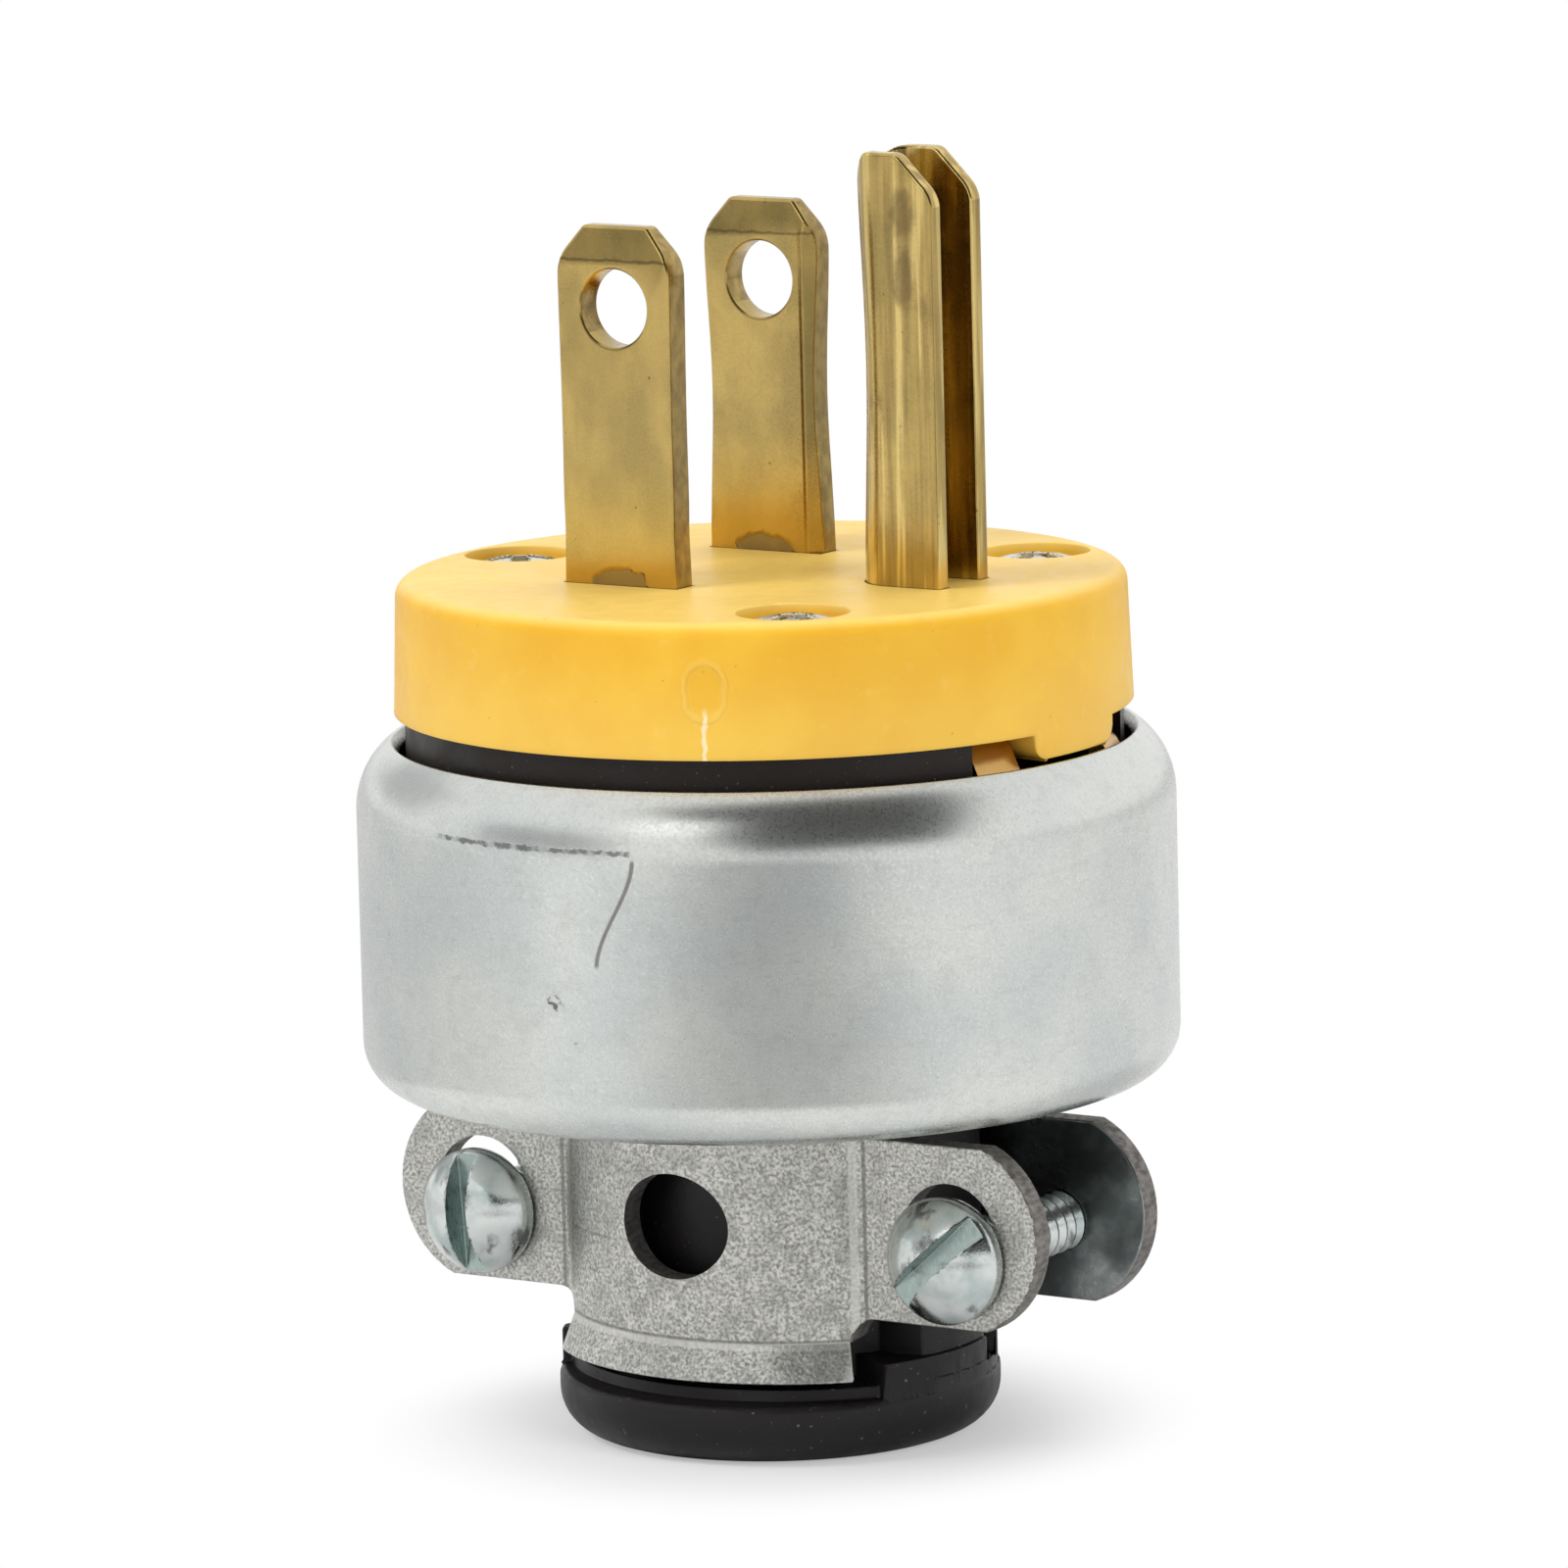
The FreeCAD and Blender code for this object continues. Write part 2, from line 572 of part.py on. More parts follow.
def make_steel_shell():
    centre = V(SHELL_RADIUS - shoulder_radius, 0, shoulder_level)
    half_rise = rim_normal / 2
    out = V(math.cos(half_rise), 0, math.sin(half_rise))
    corner = V(SHELL_RADIUS - SHELL_CORNER, 0, shell_bottom + SHELL_CORNER)
    down = V(math.sqrt(0.5), 0, -math.sqrt(0.5))
    rim = V(rim_radius, 0, rim_level)
    mouth = V(mouth_radius, 0, mouth_level)
    wall_top = V(SHELL_RADIUS, 0, shoulder_level)
    wall_end = V(SHELL_RADIUS, 0, corner.z)
    floor_out = V(corner.x, 0, shell_bottom)
    lip_out = V(SHELL_OPENING, 0, shell_bottom)
    lip_in = V(SHELL_OPENING, 0, shell_floor)
    floor_in = V(corner.x, 0, shell_floor)
    inner_end = V(shell_inner, 0, corner.z)
    inner_top = V(shell_inner, 0, shoulder_level)
    edges = [
        Part.Arc(rim, centre + out * shoulder_radius, wall_top),
        Part.LineSegment(wall_top, wall_end),
        Part.Arc(wall_end, corner + down * SHELL_CORNER, floor_out),
        Part.LineSegment(floor_out, lip_out),
        Part.LineSegment(lip_out, lip_in),
        Part.LineSegment(lip_in, floor_in),
        Part.Arc(floor_in, corner + down * (SHELL_CORNER - SHELL_WALL), inner_end),
        Part.LineSegment(inner_end, inner_top),
        Part.Arc(inner_top, centre + out * (shoulder_radius - SHELL_WALL), mouth),
        Part.LineSegment(mouth, rim),
    ]
    shell = Part.Face(Part.Wire([edge.toShape() for edge in edges])).revolve(V(0, 0, 0), UP, 360)
    places = face_screw_places().values()
    collars = [cylinder(COLLAR_RADIUS, shell_bottom, collar_top, x, y) for x, y in places]
    tapped = FACE_SCREW_RADIUS + THREAD_CLEARANCE
    holes = [cylinder(tapped, 0, cover_top, x, y) for x, y in places]
    return one_solid(shell.fuse(collars).cut(holes))


def clamp_plan():
    """The clamp half's section from above: a curved barrel between two flat ears."""
    bend_y = -EAR_FRONT - EAR_BEND_RADIUS
    reach = BARREL_RADIUS + EAR_BEND_RADIUS
    bend_x = math.sqrt(reach ** 2 - (bend_y - barrel_centre) ** 2)
    lean = math.atan2(bend_x, barrel_centre - bend_y)
    centre = V(0, barrel_centre, 0)
    edges = []
    for radius, bend, level in (
        (BARREL_RADIUS, EAR_BEND_RADIUS, -EAR_FRONT),
        (barrel_inner, EAR_BEND_RADIUS + CLAMP_SHEET, CLAMP_SHEET - EAR_FRONT),
    ):
        crown = V(0, barrel_centre - radius, 0)
        starts = {}
        for side in (-1, 1):
            bend_centre = V(side * bend_x, bend_y, 0)
            join = centre + V(side * math.sin(lean), -math.cos(lean), 0) * radius
            foot = V(side * bend_x, level, 0)
            halfway = V(-side * math.sin(lean / 2), math.cos(lean / 2), 0)
            edges.append(Part.Arc(join, bend_centre + halfway * bend, foot).toShape())
            edges.append(Part.LineSegment(foot, V(side * ear_end, level, 0)).toShape())
            starts[side] = join
        edges.append(Part.Arc(starts[-1], crown, starts[1]).toShape())
    for side in (-1, 1):
        near = V(side * ear_end, -EAR_FRONT, 0)
        far = V(side * ear_end, CLAMP_SHEET - EAR_FRONT, 0)
        edges.append(Part.LineSegment(near, far).toShape())
    return Part.Face(Part.Wire(Part.__sortEdges__(edges)))


def clamp_front_outline():
    """The half's outline from the front: tongue, two square ears and the neck above them."""
    right_side = [
        (TONGUE_HALF, lip_bend, 0),
        (TONGUE_HALF, ear_bottom, TONGUE_FILLET),
        (ear_end, ear_bottom, 0),
        (ear_end, ear_top, 0),
        (NECK_HALF, ear_top, NECK_FILLET),
        (NECK_HALF, neck_top, 0),
    ]
    left_side = [(-x, z, radius) for x, z, radius in reversed(right_side)]
    return right_side + left_side


def clamp_lip():
    """The lip below the tongue, flared outwards so that it doesn't bite the bush."""
    section = Part.makePolygon([
        V(barrel_inner, 0, lip_bend),
        V(BARREL_RADIUS, 0, lip_bend),
        V(BARREL_RADIUS + LIP_FLARE, 0, lip_bottom),
        V(barrel_inner + LIP_FLARE, 0, lip_bottom),
        V(barrel_inner, 0, lip_bend),
    ])
    half_turn = math.degrees(math.asin(TONGUE_HALF / BARREL_RADIUS))
    lip = Part.Face(section).revolve(V(0, 0, 0), UP, 2 * half_turn)
    return moved(turned(lip, -90 - half_turn), y=barrel_centre)


def round_ear_ends():
    """What is left of the ears once their ends are rounded about the screws."""
    keep = box((-CLAMP_SCREW_X, CLAMP_SCREW_X), (-beyond, beyond), (-beyond, beyond))
    for side in (-1, 1):
        start = V(side * CLAMP_SCREW_X, -beyond, ear_level)
        keep = keep.fuse(Part.makeCylinder(EAR_END_RADIUS, 2 * beyond, start, V(0, 1, 0)))
    return keep


def make_clamp_half(hole_radius, hole_level):
    """One stamped half on the -Y side, hung by a hook over the edge of the shell's floor."""
    plan = moved(clamp_plan(), z=lip_bend).extrude(V(0, 0, neck_top - lip_bend))
    outline = plate_from_front(clamp_front_outline(), -beyond, beyond)
    half = plan.common(outline).common(round_ear_ends()).fuse(clamp_lip())
    hook_end = -BARREL_FRONT - HOOK_REACH
    hook = plate_from_top([
        (-hook_half, 0, 0),
        (-hook_half, hook_end, HOOK_CORNER),
        (hook_half, hook_end, HOOK_CORNER),
        (hook_half, 0, 0),
    ], shell_floor, neck_top)
    hook = hook.cut(cylinder(barrel_inner, 0, cover_top, 0, barrel_centre))
    half = half.fuse(hook)
    along = V(0, 1, 0)
    holes = [Part.makeCylinder(WINDOW_RADIUS, BARREL_RADIUS, V(0, -2 * BARREL_FRONT, ear_level), along)]
    for side in (-1, 1):
        start = V(side * CLAMP_SCREW_X, -2 * EAR_FRONT, hole_level)
        holes.append(Part.makeCylinder(hole_radius, 2 * EAR_FRONT, start, along))
    return one_solid(half.cut(holes))


def make_front_clamp_half():
    return moved(make_clamp_half(EAR_HOLE_RADIUS, ear_level), z=JAW_LIFT)


def make_rear_clamp_half():
    return turned(make_clamp_half(CLAMP_SCREW_RADIUS + THREAD_CLEARANCE, clamp_screw_level), 180)


def make_clamp_screw(side):
    screw = domed_screw(CLAMP_SCREW_RADIUS, CLAMP_SCREW_LENGTH, CLAMP_HEAD_RADIUS,
                        CLAMP_HEAD_HEIGHT, CLAMP_HEAD_RIM)
    upright = 90 + CLAMP_SLOT_TURNS[side]
    slot = slot_cut(2 * CLAMP_HEAD_RADIUS, CLAMP_SLOT_DEPTH, CLAMP_HEAD_HEIGHT, upright, CLAMP_SLOT_WIDTH)
    screw = screw.cut(slot)
    sign = -1 if side == "left" else 1
    seat = V(sign * CLAMP_SCREW_X, -EAR_FRONT - CLAMP_HEAD_GAP, clamp_screw_level)
    return screw_facing(one_solid(screw), seat, V(0, -1, 0))


def lens(radius, low, high):
    """A lens-shaped block that follows the insides of the two clamp halves."""
    front = cylinder(radius, low, high, 0, barrel_centre)
    return front.common(cylinder(radius, low, high, 0, -barrel_centre))


def sector(radius, low, high, start, sweep):
    return turned(Part.makeCylinder(radius, high - low, V(0, 0, low), UP, sweep), start)


def bush_cheeks():
    """The low walls beside the clamp's tongues, each with a slot in its outer face."""
    outer = FLANGE_RADIUS - SEAT_GAP
    low = FLANGE_HEIGHT - SEAT_HEIGHT
    top = FLANGE_HEIGHT + CHEEK_HEIGHT
    cheek = sector(outer, low, top, -CHEEK_ANGLE / 2, CHEEK_ANGLE)
    slot = sector(2 * outer, top - CHEEK_SLOT_DEPTH, 2 * top, CHEEK_SLOT_TURN, CHEEK_SLOT_ANGLE)
    slot = slot.cut(cylinder(outer - CHEEK_SLOT_DEPTH, 0, 2 * top))
    cheek = cheek.cut(slot)
    return [cheek, turned(cheek, 180)]


def make_cord_bush():
    ledge = FLANGE_HEIGHT - SEAT_HEIGHT
    flange = cylinder(FLANGE_RADIUS, 0, ledge)
    low_edge = [edge for edge in flange.Edges if abs(edge.CenterOfMass.z) < TINY]
    flange = flange.makeFillet(FLANGE_EDGE_RADIUS, low_edge)
    high_edge = [edge for edge in flange.Edges
                 if abs(edge.CenterOfMass.z - ledge) < TINY and edge.BoundBox.ZLength < TINY]
    flange = flange.makeFillet(FLANGE_TOP_RADIUS, high_edge)
    seat = lens(barrel_inner + LIP_FLARE + LIP_SEAT, 0, FLANGE_HEIGHT)
    seat = seat.common(cylinder(FLANGE_RADIUS - SEAT_GAP, ledge - FLANGE_TOP_RADIUS, FLANGE_HEIGHT))
    sleeve = lens(sleeve_radius, ledge, SLEEVE_TOP)
    keys = box((-beyond, beyond), (-KEY_BLOCK_HALF, KEY_BLOCK_HALF), (ledge, KEY_BLOCK_TOP))
    keys = keys.common(cylinder(FLANGE_RADIUS - KEY_BLOCK_INSET, ledge, KEY_BLOCK_TOP))
    bush = flange.fuse([seat, sleeve, keys] + bush_cheeks())
    bush = bush.cut(cylinder(CORD_RADIUS, -FLANGE_HEIGHT, shell_floor + SLEEVE_TOP)).removeSplitter()
    on_base = [edge for edge in bush.Edges if abs(edge.CenterOfMass.z) < TINY]
    mouth = [edge for edge in on_base if edge.Curve.Radius < CORD_RADIUS + TINY]
    return one_solid(bush.makeFillet(CORD_EDGE_RADIUS, mouth))


def build():
    blade_face = blade_y + BLADE_THICKNESS / 2
    pieces = {
        "face_cover": make_face_cover(),
        "terminal_body": make_terminal_body(),
        "hot_blade": make_flat_blade(-1),
        "neutral_blade": make_flat_blade(1),
        "ground_blade": make_ground_blade(),
        "grounding_strap": make_grounding_strap(),
        "hot_terminal_screw": make_terminal_screw(V(BLADE_X, -blade_face, terminal_level), V(0, -1, 0)),
        "neutral_terminal_screw": make_terminal_screw(V(BLADE_X, blade_face, terminal_level), V(0, 1, 0)),
        "ground_terminal_screw": make_terminal_screw(
            V(strap_front + STRAP_THICKNESS, 0, terminal_level), V(1, 0, 0)),
        "steel_shell": make_steel_shell(),
        "front_clamp_half": make_front_clamp_half(),
        "rear_clamp_half": make_rear_clamp_half(),
        "cord_bush": make_cord_bush(),
    }
    for name in FACE_SCREW_ANGLES:
        pieces["face_screw_" + name] = make_face_screw(name)
    for side in CLAMP_SLOT_TURNS:
        pieces["clamp_screw_" + side] = make_clamp_screw(side)
    return pieces


os.makedirs("parts", exist_ok=True)
for node, shape in build().items():
    print(node, "valid" if shape.isValid() else "INVALID", len(shape.Solids), "solid", round(shape.Volume, 2))
    shape.exportStep("parts/" + node + ".step")
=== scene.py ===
import json
import math

import bpy
from mathutils import Matrix, Vector

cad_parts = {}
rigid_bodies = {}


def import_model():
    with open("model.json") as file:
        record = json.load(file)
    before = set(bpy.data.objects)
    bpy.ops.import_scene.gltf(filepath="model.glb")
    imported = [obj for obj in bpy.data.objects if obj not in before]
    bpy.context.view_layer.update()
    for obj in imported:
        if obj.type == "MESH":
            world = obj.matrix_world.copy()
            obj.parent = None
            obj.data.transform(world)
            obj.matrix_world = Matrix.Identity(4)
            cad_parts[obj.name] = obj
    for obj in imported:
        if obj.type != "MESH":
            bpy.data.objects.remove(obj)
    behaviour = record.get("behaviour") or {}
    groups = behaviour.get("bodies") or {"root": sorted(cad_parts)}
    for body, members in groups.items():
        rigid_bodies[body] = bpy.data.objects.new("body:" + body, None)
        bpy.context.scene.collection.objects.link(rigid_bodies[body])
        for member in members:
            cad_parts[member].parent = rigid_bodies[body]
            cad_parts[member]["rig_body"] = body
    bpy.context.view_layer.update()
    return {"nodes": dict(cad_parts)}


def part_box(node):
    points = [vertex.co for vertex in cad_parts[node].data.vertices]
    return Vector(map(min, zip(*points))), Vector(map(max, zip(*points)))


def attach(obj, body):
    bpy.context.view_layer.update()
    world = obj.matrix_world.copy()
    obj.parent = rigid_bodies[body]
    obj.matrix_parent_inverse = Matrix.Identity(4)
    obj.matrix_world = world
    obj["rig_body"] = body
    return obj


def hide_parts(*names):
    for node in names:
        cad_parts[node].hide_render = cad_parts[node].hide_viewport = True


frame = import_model()

# Terminal body: the black moulded block under the cover that carries the blades, the strap and their screws.
# It is pressed from dark phenolic powder, which leaves a brownish black with a low, cloudy sheen.
# Three posts under it stand on the shell's floor, round the long screws that hold the plug together.
MM = 0.001
BODY_BLACK = (0.007, 0.005, 0.004, 1)
BODY_BROWN = (0.018, 0.013, 0.010, 1)
BODY_DUST = (0.09, 0.08, 0.07, 1)


def give(thing, settings):
    for name, value in settings.items():
        setattr(thing, name, value)


def wire(node, sockets):
    """Sets a node's sockets: another node's socket is linked, and anything else is a fixed value."""
    for socket, value in sockets.items():
        if isinstance(value, bpy.types.NodeSocket):
            node.id_data.links.new(value, node.inputs[socket])
        else:
            node.inputs[socket].default_value = value


def add_node(tree, kind, sockets, **settings):
    """Adds a node to a tree and returns its outputs."""
    node = tree.nodes.new(kind)
    give(node, settings)
    wire(node, sockets)
    return node.outputs


def join_node(kind, sockets, **settings):
    """Adds a node to the tree that its linked sockets come from, and returns its outputs."""
    trees = [value.id_data for value in sockets.values() if isinstance(value, bpy.types.NodeSocket)]
    return add_node(trees[0], kind, sockets, **settings)


def new_finish(name):
    """A new material, and the place on the piece in millimetres."""
    finish = bpy.data.materials.new(name)
    finish.use_nodes = True
    on_piece = finish.node_tree.nodes.new("ShaderNodeTexCoord").outputs["Object"]
    return finish, join_node("ShaderNodeVectorMath", {0: on_piece, "Scale": 1 / MM}, operation="SCALE")[0]


def shade(finish, sockets):
    wire(finish.node_tree.nodes["Principled BSDF"], sockets)


def cloud(place, size, detail=2.0, stretch=(1, 1, 1)):
    """Noise from 0 to 1 with blots of a size in millimetres, drawn out along each axis by a stretch."""
    shares = [1 / (size * along) for along in stretch]
    spot = join_node("ShaderNodeVectorMath", {0: place, 1: shares}, operation="MULTIPLY")[0]
    return join_node("ShaderNodeTexNoise", {"Vector": spot, "Scale": 1.0, "Detail": detail})[0]


def spread(value, low, high, bottom=0.0, top=1.0):
    """Eases from bottom to top while a value goes from low to high."""
    sockets = {"Value": value, "From Min": low, "From Max": high, "To Min": bottom, "To Max": top}
    return join_node("ShaderNodeMapRange", sockets, interpolation_type="SMOOTHSTEP")[0]


def mingle(amount, first, second):
    return join_node("ShaderNodeMix", {0: amount, 6: first, 7: second}, data_type="RGBA")[2]


def tint(colour, other, value, low, high, share=1.0):
    """Turns a colour to another by up to a share while a value goes from low to high."""
    return mingle(spread(value, low, high, 0.0, share), colour, other)


def calc(operation, first, second=0.0):
    return join_node("ShaderNodeMath", {0: first, 1: second}, operation=operation)[0]


def relief(height, depth, below=None):
    """A bumped normal whose height of 1 stands a depth in millimetres proud."""
    sockets = {"Height": height, "Distance": depth * MM}
    if below is not None:
        sockets["Normal"] = below
    return join_node("ShaderNodeBump", sockets)[0]


def dress(node, finish):
    frame["nodes"][node].material_slots[0].material = finish


def black_moulding():
    finish, place = new_finish("black_moulding")
    clouds = cloud(place, 2.2, detail=5)
    grain = cloud(place, 0.14)
    colour = mingle(clouds, BODY_BLACK, BODY_BROWN)
    shade(finish, {
        "Base Color": tint(colour, BODY_DUST, cloud(place, 0.2), 0.70, 0.76),
        "Roughness": spread(clouds, 0.3, 0.7, 0.38, 0.55),
        "Specular IOR Level": 0.3,
        "Normal": relief(grain, 0.012),
    })
    return finish


dress("terminal_body", black_moulding())

# Terminal screws: three binding screws, brass for the hot blade, nickel for the neutral one, green for earth.
# They are cold headed and plated, and each draws a wire against its blade's or the strap's tab.
# They sit inside the shell, in the body's pockets.
SCREW_PLATING = {
    "hot_terminal_screw": (0.62, 0.45, 0.17, 1),
    "neutral_terminal_screw": (0.60, 0.58, 0.54, 1),
    "ground_terminal_screw": (0.05, 0.25, 0.09, 1),
}
PLATING_STAIN = (0.06, 0.05, 0.04, 1)


def plated_screw(name, colour):
    finish, place = new_finish(name + "_plating")
    scratches = cloud(place, 0.1, stretch=(1, 1, 6))
    shade(finish, {
        "Base Color": tint(colour, PLATING_STAIN, cloud(place, 0.9, detail=4), 0.55, 0.8, 0.6),
        "Metallic": 1.0,
        "Roughness": spread(scratches, 0.3, 0.7, 0.22, 0.42),
        "Normal": relief(scratches, 0.006),
    })
    return finish


for node, colour in SCREW_PLATING.items():
    dress(node, plated_screw(node, colour))

# Grounding strap: a bent strip of brass that carries the ground blade and earths the shell.
# It is stamped and bent, and its two legs come out beside the cover's key and press on the shell's inside.
# The sheet keeps its rolling lines and has darkened unevenly since it was cut; the orange cast on it is a
# painted reflection of the yellow cover.
BRASS_BRIGHT = (0.56, 0.40, 0.135, 1)
BRASS_DULL = (0.40, 0.295, 0.105, 1)
BRASS_BROWN = (0.16, 0.105, 0.05, 1)
BRASS_SPECK = (0.05, 0.038, 0.025, 1)
COVER_REFLECTION_GOLD = (0.68, 0.41, 0.045, 1)
STRAP_ORANGE = (0.64, 0.37, 0.125, 1)


def product(*factors):
    result = factors[0]
    for factor in factors[1:]:
        result = calc("MULTIPLY", result, factor)
    return result


def brass(name, patches=0.35, marks_and_painted_light=None):
    """Rolled brass with upright draw lines, brown patches and specks, and what a given function adds: the
    marks of its stamping, and on some pieces painted reflection and shade.
    """
    finish, place = new_finish(name)
    lines = cloud(place, 0.3, detail=3, stretch=(1, 1, 14))
    tone = cloud(place, 2.6, detail=6, stretch=(1, 1, 1.6))
    fine = cloud(place, 0.12)
    colour = tint(BRASS_BRIGHT, BRASS_DULL, tone, 0.35, 0.68)
    colour = tint(colour, BRASS_DULL, lines, 0.45, 0.8, 0.2)
    patch = spread(cloud(place, 2.4, detail=5, stretch=(1, 1, 1.5)), 0.58, 0.78, 0.0, patches)
    colour = mingle(patch, colour, BRASS_BROWN)
    colour = tint(colour, BRASS_SPECK, cloud(place, 0.4, detail=1), 0.78, 0.80, 0.8)
    rough = calc("ADD", spread(fine, 0.3, 0.7, 0.17, 0.26), product(patch, 0.25))
    normal = relief(lines, 0.002, relief(tone, 0.03))
    if marks_and_painted_light is not None:
        colour, normal = marks_and_painted_light(place, colour, normal)
    shade(finish, {"Base Color": colour, "Metallic": 1.0, "Roughness": rough, "Normal": normal})
    return finish


def strap_cover_reflection(place, colour, normal):
    """An uneven orange cast, painted as the reflection of the yellow cover on the strap."""
    # Painted reflection: the yellow cover's orange cast, in uneven patches.
    orange_cast = spread(cloud(place, 1.2, detail=4), 0.3, 0.6, 0.35, 0.85)
    return mingle(orange_cast, colour, STRAP_ORANGE), normal


dress("grounding_strap", brass("strap_brass", marks_and_painted_light=strap_cover_reflection))

# Ground blade: brass sheet folded to a U that is open to the side, with a cut and sloped nose.
# The fold draws its back in a little at half height, and its foot is flared out to lock under the strap.
# It stands in the strap's plate and passes up through a U-shaped slot in the cover.
FOOT_FLARE = 0.6
FOOT_HEIGHT = 0.8
GROUND_SHEET = 0.85
GROUND_EDGE = 0.16
NOSE_HEIGHT = 2.0
NOSE_FLAT = 2.1
NOSE_BACK = 1.0
NOSE_ROOM = 0.01
GROUND_WAIST = 0.34
WAIST_STEP = 1.5
BRASS_PALE = (0.80, 0.61, 0.235, 1)
GROUND_STAINS = ((9.8, 59.3, 0.75, 1.3), (9.75, 56.2, 0.65, 1.7))
ARC_STEPS = 24
WELD = 1e-6


def span(node):
    """A node's lowest and highest corners in millimetres."""
    low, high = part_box(node)
    return low / MM, high / MM


def arc(x, y, radius, start, end, steps=ARC_STEPS):
    """Points along an arc, from a start angle to an end angle in degrees."""
    turns = [math.radians(start + (end - start) * step / steps) for step in range(steps + 1)]
    return [(x + radius * math.cos(turn), y + radius * math.sin(turn)) for turn in turns]


def rounded(corners, steps=8):
    """An outline through (u, v, radius) corners, each rounded by its radius."""
    outline = []
    for index, (u, v, radius) in enumerate(corners):
        here = Vector((u, v))
        if radius == 0:
            outline.append((u, v))
            continue
        before = (Vector(corners[index - 1][:2]) - here).normalized()
        after = (Vector(corners[(index + 1) % len(corners)][:2]) - here).normalized()
        half = before.angle(after) / 2
        centre = here + (before + after).normalized() * (radius / math.sin(half))
        first = here + before * (radius / math.tan(half)) - centre
        sweep = first.angle_signed(here + after * (radius / math.tan(half)) - centre)
        for step in range(steps + 1):
            point = centre + Matrix.Rotation(-sweep * step / steps, 2) @ first
            outline.append((point.x, point.y))
    return outline


def draw_line(name, points):
    """Starts a piece in edit mode as a chain of edges through points in millimetres."""
    bpy.ops.object.select_all(action="DESELECT")
    bpy.ops.mesh.primitive_plane_add(size=MM)
    piece = bpy.context.object
    piece.name = name
    piece.data.name = name
    bpy.ops.object.mode_set(mode="EDIT")
    bpy.ops.mesh.select_mode(type="VERT")
    bpy.ops.mesh.select_all(action="SELECT")
    bpy.ops.mesh.merge(type="CENTER")
    bpy.ops.transform.translate(value=Vector(points[0]) * MM)
    for last, point in zip(points, points[1:]):
        step = (Vector(point) - Vector(last)) * MM
        bpy.ops.mesh.extrude_vertices_move(TRANSFORM_OT_translate={"value": step})
    bpy.ops.mesh.select_all(action="SELECT")
    return piece


def close_solid():
    """Turns a solid's faces outwards and leaves edit mode."""
    bpy.ops.mesh.select_all(action="SELECT")
    bpy.ops.mesh.normals_make_consistent(inside=False)
    bpy.ops.object.mode_set(mode="OBJECT")


def slab(name, outline, thickness):
    """A plate: a flat closed outline, thickened along a vector in millimetres."""
    piece = draw_line(name, outline)
    bpy.ops.mesh.edge_face_add()
    bpy.ops.mesh.extrude_region_move(TRANSFORM_OT_translate={"value": Vector(thickness) * MM})
    close_solid()
    return piece


def take_up(piece):
    bpy.ops.object.select_all(action="DESELECT")
    piece.select_set(True)
    bpy.context.view_layer.objects.active = piece


def open_mesh(piece):
    """Takes a piece up in edit mode, with all of it selected."""
    take_up(piece)
    bpy.ops.object.mode_set(mode="EDIT")
    bpy.ops.mesh.select_all(action="SELECT")


def cut_planes(piece, points, facing, **options):
    """Cuts new edges where the piece meets planes through points in millimetres."""
    open_mesh(piece)
    for point in points:
        bpy.ops.mesh.select_all(action="SELECT")
        bpy.ops.mesh.bisect(plane_co=[length * MM for length in point], plane_no=facing, **options)
    bpy.ops.object.mode_set(mode="OBJECT")


def slice_levels(piece, levels):
    """Cuts new edges round the piece at levels in millimetres, so that it can be shaped there."""
    cut_planes(piece, [(0, 0, level) for level in levels], (0, 0, 1))


def work(piece, kind, **settings):
    """Applies one modifier to a piece."""
    take_up(piece)
    step = piece.modifiers.new(kind, kind)
    give(step, settings)
    bpy.ops.object.modifier_apply(modifier=step.name)


def carve(piece, tool, operation="DIFFERENCE"):
    """Cuts, joins or trims the piece by a tool, which is used up. Cut faces keep the tool's finish."""
    work(piece, "BOOLEAN", operation=operation, solver="EXACT", material_mode="TRANSFER", object=tool)
    bpy.data.objects.remove(tool)


def soften(piece, width, segments=2, sharp=40):
    """Rounds every edge sharper than an angle in degrees."""
    work(piece, "BEVEL", width=width * MM, segments=segments, limit_method="ANGLE",
         angle_limit=math.radians(sharp), use_clamp_overlap=False)
    even_out(piece, sharp)


def even_out(piece, sharp=40):
    """Smooth shading up to an angle in degrees, with flat faces kept flat."""
    take_up(piece)
    bpy.ops.object.shade_smooth_by_angle(angle=math.radians(sharp))
    work(piece, "WEIGHTED_NORMAL", keep_sharp=True)


def fit(piece, node, finish):
    """Puts a finished piece in its node's place, on the node's body and with the node's material slot."""
    if not piece.data.materials:
        piece.data.materials.append(finish)
    piece.data.materials[0] = finish
    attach(piece, frame["nodes"][node]["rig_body"])
    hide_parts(node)


def at_level(points, level):
    return [(x, y, level) for x, y in points]


def u_section(outer, inner, bend_x, end_x, level):
    """The ground blade's section from above: a half round back and two legs towards +X."""
    back = arc(bend_x, 0, outer, -90, -270)
    channel = arc(bend_x, 0, inner, 90, 270)
    outline = [(end_x, -outer)] + back + [(end_x, outer), (end_x, inner)] + channel + [(end_x, -inner)]
    return at_level(outline, level)


ground_low, ground_high = span("ground_blade")
cover_low, cover_high = span("face_cover")
ground_outer = ground_high.y - FOOT_FLARE
ground_inner = ground_outer - GROUND_SHEET
ground_bend = ground_low.x + FOOT_FLARE + ground_outer
ground_end = ground_high.x - FOOT_FLARE
ground_rise = ground_high.z - ground_low.z
ground_back = ground_bend - ground_outer


